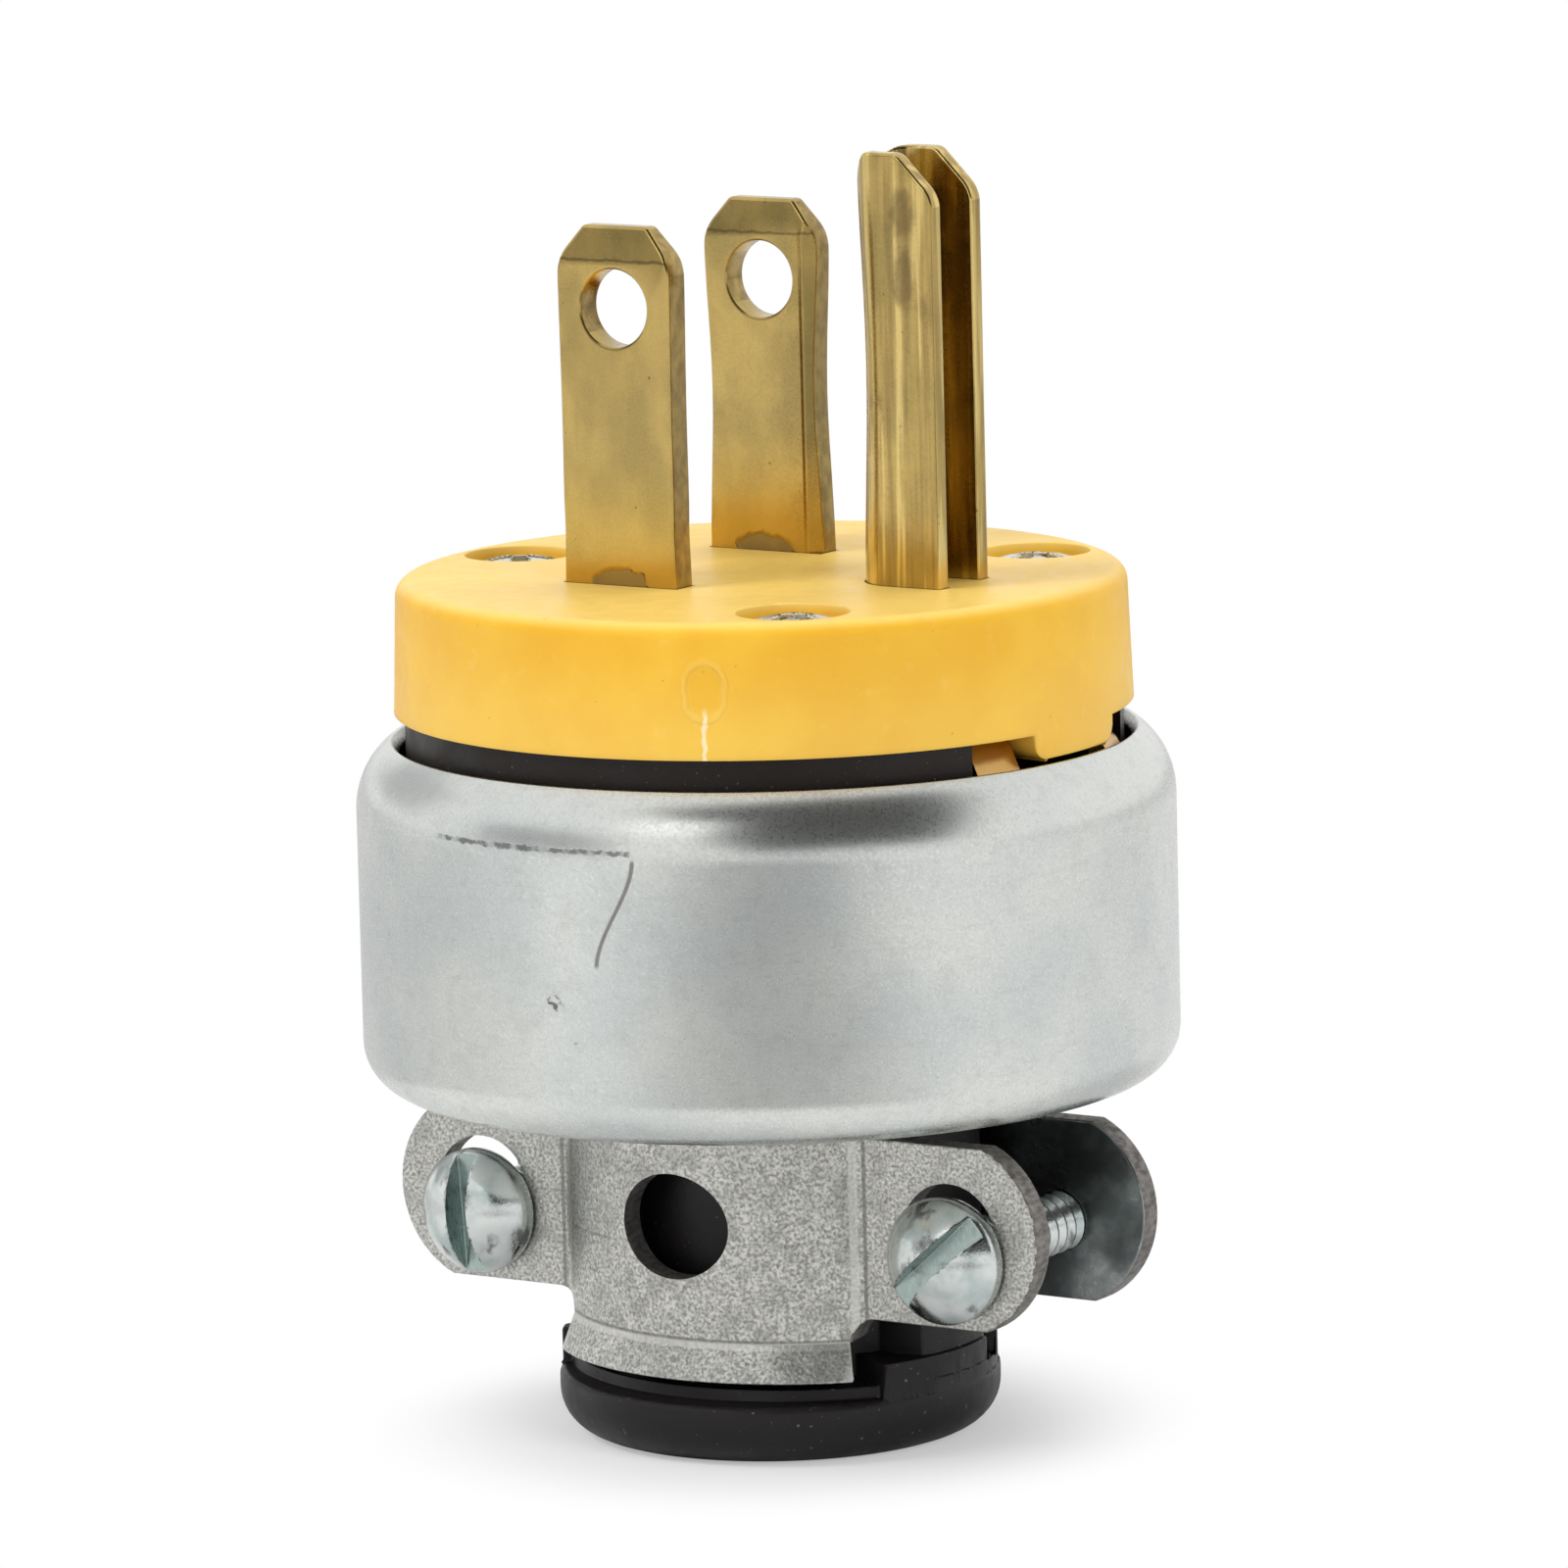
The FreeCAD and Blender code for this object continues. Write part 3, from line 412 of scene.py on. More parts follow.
def ground_blade():
    section = u_section(ground_outer, ground_inner, ground_bend, ground_end, ground_low.z)
    blade = slab("brass_ground_blade", section, (0, 0, ground_rise))
    shoulder = ground_high.z - NOSE_HEIGHT
    flat_start = ground_back + NOSE_BACK
    nose = rounded([
        (ground_back - NOSE_ROOM, ground_low.z - NOSE_ROOM, 0),
        (ground_end + NOSE_ROOM, ground_low.z - NOSE_ROOM, 0),
        (ground_end + NOSE_ROOM, shoulder, NOSE_HEIGHT * 0.8),
        (flat_start + NOSE_FLAT, ground_high.z, NOSE_HEIGHT / 3),
        (flat_start, ground_high.z, NOSE_HEIGHT / 3),
        (ground_back - NOSE_ROOM, shoulder, NOSE_HEIGHT / 2),
    ], 12)
    trim = slab("nose", [(x, -ground_outer - 1, z) for x, z in nose], (0, 2 * ground_outer + 2, 0))
    carve(blade, trim, "INTERSECT")
    free_length = ground_high.z - cover_high.z
    waist_cuts = range(1, int(free_length / WAIST_STEP))
    slice_levels(blade, [cover_high.z + WAIST_STEP * step for step in waist_cuts])
    for vertex in blade.data.vertices:
        height = (vertex.co.z / MM - cover_high.z) / free_length
        if 0 < height < 1 and vertex.co.x / MM < ground_bend:
            share = (ground_bend - vertex.co.x / MM) / ground_outer
            vertex.co.x += GROUND_WAIST * MM * share * math.sin(math.pi * height) ** 2
    foot = u_section(ground_outer + FOOT_FLARE, ground_inner, ground_bend, ground_high.x, ground_low.z)
    carve(blade, slab("foot", foot, (0, 0, FOOT_HEIGHT)), "UNION")
    soften(blade, GROUND_EDGE, segments=3)
    return blade


def axes_of(place):
    return join_node("ShaderNodeSeparateXYZ", {0: place})


def relative(value, centre, half):
    """How far a value is from a centre, in halves of a width."""
    return calc("DIVIDE", calc("SUBTRACT", value, centre), half)


def distance(across, upright):
    """The length of a step with two parts that are square to each other."""
    squares = [calc("POWER", part, 2.0) for part in (across, upright)]
    return calc("SQRT", calc("ADD", *squares))


def fold_stains(place, colour, normal):
    """Brown stains near the tip of the front leg, and upright streaks where the fold was drawn."""
    axes = axes_of(place)
    streaks = cloud(place, 0.5, stretch=(1, 1, 24))
    colour = tint(colour, BRASS_BROWN, streaks, 0.54, 0.70, 0.35)
    colour = tint(colour, BRASS_PALE, streaks, 0.52, 0.40, 0.8)
    blur = product(cloud(place, 0.7, detail=3), 0.7)
    for x, level, half, tall in GROUND_STAINS:
        reach = distance(relative(axes[0], x, half), relative(axes[2], level, tall))
        stain = spread(calc("ADD", reach, blur), 0.9, 1.5, 0.6, 0.0)
        colour = mingle(stain, colour, BRASS_BROWN)
    return colour, relief(streaks, 0.006, normal)


fit(ground_blade(), "ground_blade", brass("ground_brass", patches=0.5, marks_and_painted_light=fold_stains))

# Flat blades: two strips of brass with a round hole near the tip, for the hot side and the neutral side.
# They are sheared and pressed, so the tip is chamfered all round and the long edges are broken.
# Ears under the cover lock them in the body, and the tabs below take the terminal screws.
BLADE_WIDTH = 6.35
BLADE_HOLE = 1.85
BLADE_HOLE_DROP = 3.9
BLADE_TIP_WIDTH = 3.6
BLADE_TIP_LENGTH = 1.65
BLADE_TIP_THICKNESS = 0.9
BLADE_CORNER = 2.2
BLADE_EDGE = 0.17
BLADE_SHARP = 28
BLADE_EAR_HEIGHT = 1.9
BLADE_TAB_CORNER = 1.0
TERMINAL_DROP = 6.7
TERMINAL_HOLE = 1.79
COVER_THICKNESS = 6.35
WAIST_POINTS = 12
HOLE_STEPS = 72
BLADE_WAIST = {"hot_blade": 0.06, "neutral_blade": 0.28}
BLADE_FLARE = {"hot_blade": 0.06, "neutral_blade": 0.015}
FLARE_SHARE = 0.3
WIDE_BEVEL = {"hot_blade": 0.0, "neutral_blade": 0.55}
WIDE_BEVEL_FACING = (0.5, -0.87, 0)
STAMP_HALF = 1.8
STAMP_RISE = 1.0
COVER_REFLECTION_RISE = 7.0
STAMP_GREY = (0.20, 0.17, 0.12, 1)
SIDE_FACING = 0.75
cover_bottom = cover_high.z - COVER_THICKNESS


def cylinder(radius, depth, centre, turn=(0, 0, 0), widen=1.0):
    """A bar centred on a place in millimetres, along Z or turned from it, round or widened along X."""
    bpy.ops.object.select_all(action="DESELECT")
    bpy.ops.mesh.primitive_cylinder_add(vertices=HOLE_STEPS, radius=radius * MM, depth=depth * MM,
                                        location=Vector(centre) * MM, rotation=turn, scale=(widen, 1, 1))
    return bpy.context.object


def drill(piece, radius, centre, depth, turn=(0, 0, 0), finish=None, widen=1.0):
    """Cuts a hole, with a finish on its wall where one is given."""
    tool = cylinder(radius, depth, centre, turn, widen)
    if finish is not None:
        tool.data.materials.append(finish)
    carve(piece, tool)


def stamps_and_painted_light(place, colour, normal):
    """A grey dent at the cover, a painted reflection of the yellow cover that turns the blade golden near it,
    and a brown line of painted shade along the edge under the tip's bevel.
    """
    axes = axes_of(place)
    across = relative(axes[0], blade_middle, STAMP_HALF)
    above = relative(axes[2], cover_high.z, STAMP_RISE)
    ragged = product(cloud(place, 0.6), 0.5)
    dent = spread(calc("ADD", distance(across, above), ragged), 1.02, 1.25, 1.0, 0.0)
    colour = mingle(product(dent, 0.6), colour, STAMP_GREY)
    # Painted shade: a brown line along the edge under the tip's bevel.
    wander = product(calc("SUBTRACT", cloud(place, 0.7), 0.5), 0.3)
    below_tip = calc("ADD", calc("SUBTRACT", hot_high.z - BLADE_TIP_LENGTH, axes[2]), wander)
    bevel = spread(calc("ABSOLUTE", below_tip), 0.03, 0.1, 0.6, 0.0)
    colour = mingle(bevel, colour, BRASS_BROWN)
    # Painted reflection: the yellow cover turns the blade golden for a few millimetres above it.
    cover_reflection = spread(axes[2], cover_high.z + 1, cover_high.z + COVER_REFLECTION_RISE, 0.42, 0.0)
    colour = mingle(product(cover_reflection, calc("SUBTRACT", 1.0, dent)), colour, COVER_REFLECTION_GOLD)
    return colour, relief(dent, -0.07, normal)


def sheared_side(place, colour, normal):
    """The brown, torn face that the shear leaves on the blade's narrow sides."""
    tears = cloud(place, 0.25, detail=3, stretch=(1, 2, 3))
    brown = spread(tears, 0.3, 0.7, 0.2, 0.6)
    return mingle(brown, colour, BRASS_BROWN), relief(tears, 0.01, normal)


def flat_blade(node, name):
    low, high = span(node)
    middle = (low.x + high.x) / 2
    half = BLADE_WIDTH / 2
    tip_start = high.z - BLADE_TIP_LENGTH
    free_length = tip_start - cover_high.z
    side = [(half, low.z, BLADE_TAB_CORNER), (half, cover_bottom - BLADE_EAR_HEIGHT, 0),
            (high.x - middle, cover_bottom - BLADE_EAR_HEIGHT, 0), (high.x - middle, cover_bottom, 0),
            (half, cover_bottom, 0)]
    for step in range(WAIST_POINTS):
        height = step / WAIST_POINTS
        draw_in = BLADE_WAIST[node] * math.sin(math.pi * height) ** 2
        flare = BLADE_FLARE[node] * math.sin(math.pi * min(height, FLARE_SHARE) / FLARE_SHARE) ** 2
        side.append((half - draw_in - flare, cover_high.z + free_length * height, 0))
    side += [(half, tip_start, BLADE_CORNER), (BLADE_TIP_WIDTH / 2, high.z, 0)]
    outline = rounded(side + [(-x, z, radius) for x, z, radius in reversed(side)])
    blade = slab(name, [(middle + x, low.y, z) for x, z in outline], (0, high.y - low.y, 0))
    blade.data.materials.append(None)
    slice_levels(blade, [tip_start])
    thickness = (high.y - low.y) * MM
    centre_y = (low.y + high.y) / 2 * MM
    for vertex in blade.data.vertices:
        share = max(0.0, (vertex.co.z / MM - tip_start) / BLADE_TIP_LENGTH)
        shrink = 1 - share * (1 - BLADE_TIP_THICKNESS * MM / thickness)
        vertex.co.y = centre_y + (vertex.co.y - centre_y) * shrink
    if WIDE_BEVEL[node]:
        corner = (middle + half - BLADE_WAIST[node] - WIDE_BEVEL[node], low.y, 0)
        cut_planes(blade, [corner], WIDE_BEVEL_FACING, clear_outer=True, use_fill=True)
    on_edge = (math.pi / 2, 0, 0)
    holes = ((BLADE_HOLE, high.z - BLADE_HOLE_DROP), (TERMINAL_HOLE, cover_bottom - TERMINAL_DROP))
    for radius, level in holes:
        drill(blade, radius, (middle, (low.y + high.y) / 2, level), 4 * (high.y - low.y), on_edge)
    soften(blade, BLADE_EDGE, segments=3, sharp=BLADE_SHARP)
    blade.data.materials.append(side_brass)
    for face in blade.data.polygons:
        if abs(face.normal.x) > SIDE_FACING:
            face.material_index = len(blade.data.materials) - 1
    return blade


hot_low, hot_high = span("hot_blade")
blade_middle = (hot_low.x + hot_high.x) / 2
blade_brass = brass("blade_brass", patches=0.15, marks_and_painted_light=stamps_and_painted_light)
side_brass = brass("side_brass", patches=0.5, marks_and_painted_light=sheared_side)
fit(flat_blade("hot_blade", "brass_hot_blade"), "hot_blade", blade_brass)
fit(flat_blade("neutral_blade", "brass_neutral_blade"), "neutral_blade", blade_brass)

# Face cover: the yellow disc that the blades stand through, moulded in nylon with a satin skin.
# Its top edge is rounded, its side is drafted, and a tongue under the edge keys it between the strap's legs.
# The mould's gate left a ring and a pale crack on its side. Three long screws sit in its counterbores.
COVER_DRAFT = 0.2
COVER_EDGE = 0.8
COVER_BREAK = 0.12
COVER_PALE_TOP = 0.5
COVER_STEPS = 256
KEY_INNER = 14.2
KEY_HALF = 11.5
KEY_CORNER = 0.85
SLOT_ROOM = 0.08
COUNTERBORE = 2.65
SCREW_HOLE = 1.9
COVER_YELLOW = (0.87, 0.51, 0.035, 1)
COVER_DEEP = (0.82, 0.44, 0.022, 1)
COVER_PALE = (0.95, 0.70, 0.22, 1)
COVER_CRACK = (0.98, 0.86, 0.58, 1)
COVER_SPECK = (0.35, 0.17, 0.03, 1)
GATE_ANGLE = -66.0
GATE_LEVEL = 38.5
GATE_HALF = 1.0
GATE_TALL = 1.35


def lathe(name, profile, steps=COVER_STEPS):
    """A round piece about Z, spun from (radius, level) points in millimetres and closed at its ends."""
    piece = draw_line(name, [(radius, 0, level) for radius, level in profile])
    bpy.ops.mesh.spin(steps=steps, angle=2 * math.pi, center=(0, 0, 0), axis=(0, 0, 1))
    bpy.ops.mesh.select_all(action="SELECT")
    bpy.ops.mesh.remove_doubles(threshold=WELD)
    bpy.ops.mesh.fill_holes(sides=0)
    close_solid()
    return piece


def screw_place(name):
    low, high = span("face_screw_" + name)
    return (low.x + high.x) / 2, (low.y + high.y) / 2


def yellow_nylon():
    """Satin yellow with cloudy depth, specks, a paler top, a side that pales towards its foot with painted
    bounce light, and the ring and crack at the mould's gate.
    """
    finish, place = new_finish("yellow_nylon")
    axes = axes_of(place)
    clouds = cloud(place, 5.0, detail=3)
    mottle = cloud(place, 0.9, detail=4)
    colour = tint(COVER_YELLOW, COVER_DEEP, clouds, 0.35, 0.7)
    colour = tint(colour, COVER_PALE, mottle, 0.60, 0.8, 0.2)
    # Paler towards the top face.
    colour = tint(colour, COVER_PALE, axes[2], cover_high.z - COVER_PALE_TOP, cover_high.z, 0.6)
    # Painted light: the side pales towards its foot, as bounce light from the floor.
    colour = tint(colour, COVER_PALE, axes[2], cover_high.z - COVER_EDGE, cover_bottom, 0.22)
    colour = tint(colour, COVER_SPECK, cloud(place, 0.36, detail=1), 0.79, 0.80, 0.4)
    turn = math.radians(GATE_ANGLE)
    outward = (math.cos(turn), math.sin(turn), 0)
    sideways = (-math.sin(turn), math.cos(turn), 0)
    out, side = [join_node("ShaderNodeVectorMath", {0: place, 1: facing}, operation="DOT_PRODUCT")["Value"]
                 for facing in (outward, sideways)]
    rise = calc("SUBTRACT", axes[2], GATE_LEVEL)
    wobble = product(calc("SUBTRACT", cloud(place, 0.8), 0.5), 0.5)
    across = calc("DIVIDE", calc("ADD", side, wobble), GATE_HALF)
    upright = calc("DIVIDE", rise, GATE_TALL)
    ring_reach = distance(across, upright)
    front = spread(out, cover_high.x - 2, cover_high.x - 1)
    ring_off = calc("ABSOLUTE", calc("SUBTRACT", ring_reach, 1.0))
    ring = product(spread(ring_off, 0.06, 0.2, 1.0, 0.0), front)
    inside = product(spread(ring_reach, 0.6, 0.95, 0.5, 0.0), front)
    crack_line = spread(calc("ABSOLUTE", calc("ADD", side, wobble)), 0.05, 0.14, 1.0, 0.0)
    crack_low = spread(rise, -GATE_TALL * 0.5, -GATE_TALL)
    crack = product(crack_line, crack_low, front)
    colour = mingle(inside, colour, COVER_DEEP)
    colour = mingle(product(ring, 0.14), colour, COVER_PALE)
    colour = mingle(product(crack, 0.7), colour, COVER_CRACK)
    skin = cloud(place, 0.16)
    sink = cloud(place, 7.0, detail=1)
    normal = relief(sink, 0.08, relief(skin, 0.008))
    normal = relief(calc("SUBTRACT", ring, inside), 0.04, normal)
    shade(finish, {
        "Base Color": colour,
        "Roughness": spread(mottle, 0.3, 0.7, 0.36, 0.48),
        "Specular IOR Level": 0.4,
        "Subsurface Weight": 0.12,
        "Subsurface Radius": (1.0, 0.55, 0.12),
        "Subsurface Scale": 0.8 * MM,
        "Normal": normal,
    })
    return finish


def round_tongue(cover):
    """Rounds the two lower corners of the key's tongue."""
    corner = arc(-KEY_CORNER, cover_low.z + KEY_CORNER, KEY_CORNER, 0, -90, 8)
    corner += [(-KEY_CORNER, cover_low.z - 1), (1, cover_low.z - 1), (1, cover_low.z + KEY_CORNER)]
    for side in (1, -1):
        turn = math.radians(side * KEY_HALF)
        out = Vector((math.cos(turn), math.sin(turn), 0))
        across = Vector((-math.sin(turn), math.cos(turn), 0)) * side
        outline = [out * (KEY_INNER - 1) + across * aside + Vector((0, 0, level)) for aside, level in corner]
        carve(cover, slab("tongue_corner", outline, out * (cover_high.x - KEY_INNER + 2)))


def face_cover():
    radius = cover_high.x
    top = cover_high.z
    top_radius = radius - COVER_DRAFT
    profile = [(radius, cover_low.z), (radius, cover_bottom)]
    profile += arc(top_radius - COVER_EDGE, top - COVER_EDGE, COVER_EDGE, 2, 90, 10)
    cover = lathe("yellow_cover", profile)
    clear = (arc(0, 0, 2 * radius, KEY_HALF, 360 - KEY_HALF, 96)
             + arc(0, 0, KEY_INNER, 360 - KEY_HALF, 360 + KEY_HALF))
    under = cover_low.z - 1
    carve(cover, slab("below_face", at_level(clear, under), (0, 0, cover_bottom - under)))
    round_tongue(cover)
    for name in ("left", "front", "rear"):
        x, y = screw_place(name)
        drill(cover, COUNTERBORE, (x, y, top), 2 * (top - screw_seat))
        drill(cover, SCREW_HOLE, (x, y, top), 4 * COVER_THICKNESS)
    soften(cover, COVER_BREAK)
    for node in ("hot_blade", "neutral_blade"):
        low, high = span(node)
        half = BLADE_WIDTH / 2 + SLOT_ROOM
        corners = [(blade_middle - half, low.y - SLOT_ROOM), (blade_middle + half, low.y - SLOT_ROOM),
                   (blade_middle + half, high.y + SLOT_ROOM), (blade_middle - half, high.y + SLOT_ROOM)]
        carve(cover, slab("slot", at_level(corners, under), (0, 0, 2 * COVER_THICKNESS)))
    u_slot = u_section(ground_outer + SLOT_ROOM, ground_inner - SLOT_ROOM, ground_bend,
                       ground_end + SLOT_ROOM, under)
    carve(cover, slab("u_slot", u_slot, (0, 0, 2 * COVER_THICKNESS)))
    even_out(cover)
    return cover


SCREW_HEAD_HEIGHT = 1.9
screw_seat = span("face_screw_left")[1].z - SCREW_HEAD_HEIGHT
fit(face_cover(), "face_cover", yellow_nylon())

# Steel shell: the armour round the body, a cup drawn from sheet steel and plated with bright zinc.
# Its mouth is drawn in to a round shoulder, and its floor is opened for the cord and tapped for three screws.
# Handling left a broken black rub along the shoulder, a brown hook-shaped scratch and a few specks.
SHELL_WALL = 0.8
SHELL_CORNER = 2.3
SHELL_EDGE = 0.16
SHELL_SHARP = 50
SHELL_OPENING = 10.4
SHOULDER_INSET = 1.75
SHOULDER_DROP = 3.3
COLLAR_RADIUS = 2.7
COLLAR_HEIGHT = 1.2
COLLAR_SINK = 0.1
TAPPED_RADIUS = 1.79
ZINC_BRIGHT = (0.72, 0.735, 0.705, 1)
ZINC_BLUE = (0.63, 0.66, 0.65, 1)
ZINC_DULL = (0.47, 0.48, 0.46, 1)
RUB_BLACK = (0.06, 0.055, 0.048, 1)
SCRATCH_BROWN = (0.12, 0.095, 0.07, 1)
RUB_LEVEL = 31.15
RUB_START = -109.5
RUB_END = -75.6
HOOK_LEVELS = (25.6, 30.9)
HOOK_SWING = 5.6
SMUDGE_ANGLE = -88.0
SMUDGE_LEVEL = 23.9


def line_mask(off, width):
    """1 on a line and 0 a width in millimetres away from it."""
    return spread(calc("ABSOLUTE", off), width * 0.5, width, 1.0, 0.0)


def bright_zinc():
    """Zinc plate with a fine grain, faint upright streaks, and the rub, scratch and smudge on its front."""
    finish, place = new_finish("bright_zinc")
    axes = axes_of(place)
    degrees = product(calc("ARCTAN2", axes[1], axes[0]), 180 / math.pi)
    along = math.pi / 180 * shell_radius
    broad = cloud(place, 7.0, detail=1)
    grain = cloud(place, 0.16, detail=3)
    mottle = cloud(place, 1.0)
    streak = cloud(place, 0.3, stretch=(6, 6, 1))
    colour = tint(ZINC_BRIGHT, ZINC_BLUE, broad, 0.35, 0.7)
    colour = tint(colour, ZINC_DULL, mottle, 0.48, 0.78, 0.22)
    colour = tint(colour, ZINC_DULL, grain, 0.45, 0.75, 0.3)
    colour = tint(colour, ZINC_DULL, streak, 0.55, 0.8, 0.25)
    speck = spread(cloud(place, 0.42), 0.77, 0.82, 0.0, 0.5)
    jag = product(calc("SUBTRACT", cloud(place, 0.35), 0.5), 0.35)
    rub_height = calc("ADD", calc("SUBTRACT", axes[2], RUB_LEVEL), jag)
    rub_ends = product(spread(degrees, RUB_START, RUB_START + 2),
                       spread(degrees, RUB_END - 1, RUB_END, 1.0, 0.0))
    rub_gaps = spread(cloud(place, 0.5, detail=3), 0.36, 0.54, 0.25, 1.0)
    rub = product(line_mask(rub_height, 0.15), 0.65, rub_ends, rub_gaps)
    fall = spread(axes[2], HOOK_LEVELS[0], HOOK_LEVELS[1], 1.0, 0.0)
    hook_angle = calc("SUBTRACT", RUB_END, product(fall, HOOK_SWING))
    hook_off = product(calc("SUBTRACT", degrees, hook_angle), along)
    hook_ends = product(spread(axes[2], HOOK_LEVELS[0], HOOK_LEVELS[0] + 0.3),
                        spread(axes[2], HOOK_LEVELS[1] - 0.2, HOOK_LEVELS[1], 1.0, 0.0))
    hook = product(line_mask(hook_off, 0.13), hook_ends, 0.65)
    smudge_off = product(calc("SUBTRACT", degrees, SMUDGE_ANGLE), along)
    smudge_rise = calc("SUBTRACT", axes[2], SMUDGE_LEVEL)
    smudge_reach = distance(smudge_off, smudge_rise)
    smudge = product(spread(smudge_reach, 0.2, 0.7, 0.8, 0.0),
                     spread(cloud(place, 0.25), 0.45, 0.6))
    colour = mingle(speck, colour, RUB_BLACK)
    colour = mingle(hook, colour, SCRATCH_BROWN)
    colour = mingle(smudge, colour, RUB_BLACK)
    colour = mingle(rub, colour, RUB_BLACK)
    marks = calc("MAXIMUM", rub, hook)
    rough = calc("ADD", spread(grain, 0.3, 0.7, 0.26, 0.32), product(marks, 0.3))
    wave = cloud(place, 6.0, detail=1, stretch=(1, 1, 2))
    normal = relief(grain, 0.003, relief(wave, 0.02))
    shade(finish, {
        "Base Color": colour,
        "Metallic": 1.0,
        "Roughness": rough,
        "Normal": relief(marks, -0.015, normal),
    })
    return finish


def steel_shell():
    low, high = span("steel_shell")
    floor = low.z + SHELL_WALL
    shoulder_radius = (SHOULDER_DROP ** 2 + SHOULDER_INSET ** 2) / (2 * SHOULDER_INSET)
    rim_turn = math.degrees(math.atan2(SHOULDER_DROP, shoulder_radius - SHOULDER_INSET))
    shoulder_x = shell_radius - shoulder_radius
    shoulder_z = high.z - SHOULDER_DROP
    corner_x = shell_radius - SHELL_CORNER
    corner_z = low.z + SHELL_CORNER
    outside = (arc(shoulder_x, shoulder_z, shoulder_radius, rim_turn, 0)
               + arc(corner_x, corner_z, SHELL_CORNER, 0, -90, 14))
    inside = (arc(corner_x, corner_z, SHELL_CORNER - SHELL_WALL, -90, 0, 14)
              + arc(shoulder_x, shoulder_z, shoulder_radius - SHELL_WALL, 0, rim_turn))
    profile = outside + [(SHELL_OPENING, low.z), (SHELL_OPENING, floor)] + inside
    shell = lathe("drawn_shell", profile + profile[:1])
    for name in ("left", "front", "rear"):
        x, y = screw_place(name)
        collar = cylinder(COLLAR_RADIUS, COLLAR_HEIGHT, (x, y, floor + COLLAR_HEIGHT / 2 - COLLAR_SINK))
        carve(shell, collar, "UNION")
        drill(shell, TAPPED_RADIUS, (x, y, floor), 4 * COLLAR_HEIGHT)
    soften(shell, SHELL_EDGE, segments=3, sharp=SHELL_SHARP)
    return shell


shell_radius = span("steel_shell")[1].x
fit(steel_shell(), "steel_shell", bright_zinc())

# Face screws: three long screws with a cross recess and a slot, which hold the cover, the body and the shell.
# They are cold headed steel with a yellowish zinc plate, worn bright on the heads.
# Their heads lie in the cover's counterbores, and their ends are tapped into collars in the shell's floor.
FACE_HEAD_RADIUS = 2.35
FACE_SHANK_RADIUS = 1.75
FACE_CROSS_HALF = 1.5
FACE_SLOT_WIDTH = 0.8
FACE_SLOT_TURN = 35.0
FACE_SLOT_DEPTH = 0.6
FACE_SCREW_ANGLES = {"left": 180.0, "front": -51.0, "rear": 51.0}
FACE_CROWN = 0.45
FACE_EDGE = 0.1
FACE_POINT = 0.3
SCREW_STEPS = 96
FACE_LIFT = 0.3
FACE_PLATING = (0.78, 0.74, 0.62, 1)


def domed_head(radius, height, rim, steps=10):
    """A round head's profile from its rim to near its crown, with its seat at level 0."""
    dome = height - rim
    dome_radius = (radius ** 2 + dome ** 2) / (2 * dome)
    rise = math.degrees(math.asin(radius / dome_radius))
    return [(radius, 0), (radius, rim)] + arc(0, height - dome_radius, dome_radius, 90 - rise, 89, steps)[1:]


def mill_slot(piece, length, width, depth, top, turn, finish=None):
    """Mills a straight slot across the crown of a screw that stands on Z."""
    bpy.ops.object.select_all(action="DESELECT")
    bpy.ops.mesh.primitive_cube_add(size=1, location=(0, 0, top * MM), rotation=(0, 0, math.radians(turn)))
    tool = bpy.context.object
    tool.scale = (length * MM, width * MM, 2 * depth * MM)
    if finish is not None:
        tool.data.materials.append(finish)
    carve(piece, tool)


def set_in_place(piece, place, turn=(0, 0, 0)):
    """Turns a piece about the origin and moves it to a place in millimetres, within its own mesh."""
    take_up(piece)
    piece.rotation_euler = turn
    piece.location = Vector(place) * MM
    bpy.ops.object.transform_apply(location=True, rotation=True, scale=True)


def face_screw(name):
    length = screw_seat - span("face_screw_" + name)[0].z
    profile = [(FACE_SHANK_RADIUS - FACE_POINT, -length), (FACE_SHANK_RADIUS, FACE_POINT - length),
               (FACE_SHANK_RADIUS, 0)]
    crown = SCREW_HEAD_HEIGHT + FACE_LIFT
    screw = lathe("face_screw_" + name + "_headed",
                  profile + domed_head(FACE_HEAD_RADIUS, crown, crown - FACE_CROWN), SCREW_STEPS)
    turn = FACE_SCREW_ANGLES[name] + FACE_SLOT_TURN
    for across in (0, 90):
        mill_slot(screw, 2 * FACE_CROSS_HALF, FACE_SLOT_WIDTH, 2 * FACE_SLOT_DEPTH, crown, turn + across)
    mill_slot(screw, 4 * FACE_HEAD_RADIUS, FACE_SLOT_WIDTH * 0.9, FACE_SLOT_DEPTH, crown, turn)
    soften(screw, FACE_EDGE, segments=3)
    x, y = screw_place(name)
    set_in_place(screw, (x, y, screw_seat))
    return screw


face_plating = plated_screw("face_screw", FACE_PLATING)
for name in FACE_SCREW_ANGLES:
    fit(face_screw(name), "face_screw_" + name, face_plating)

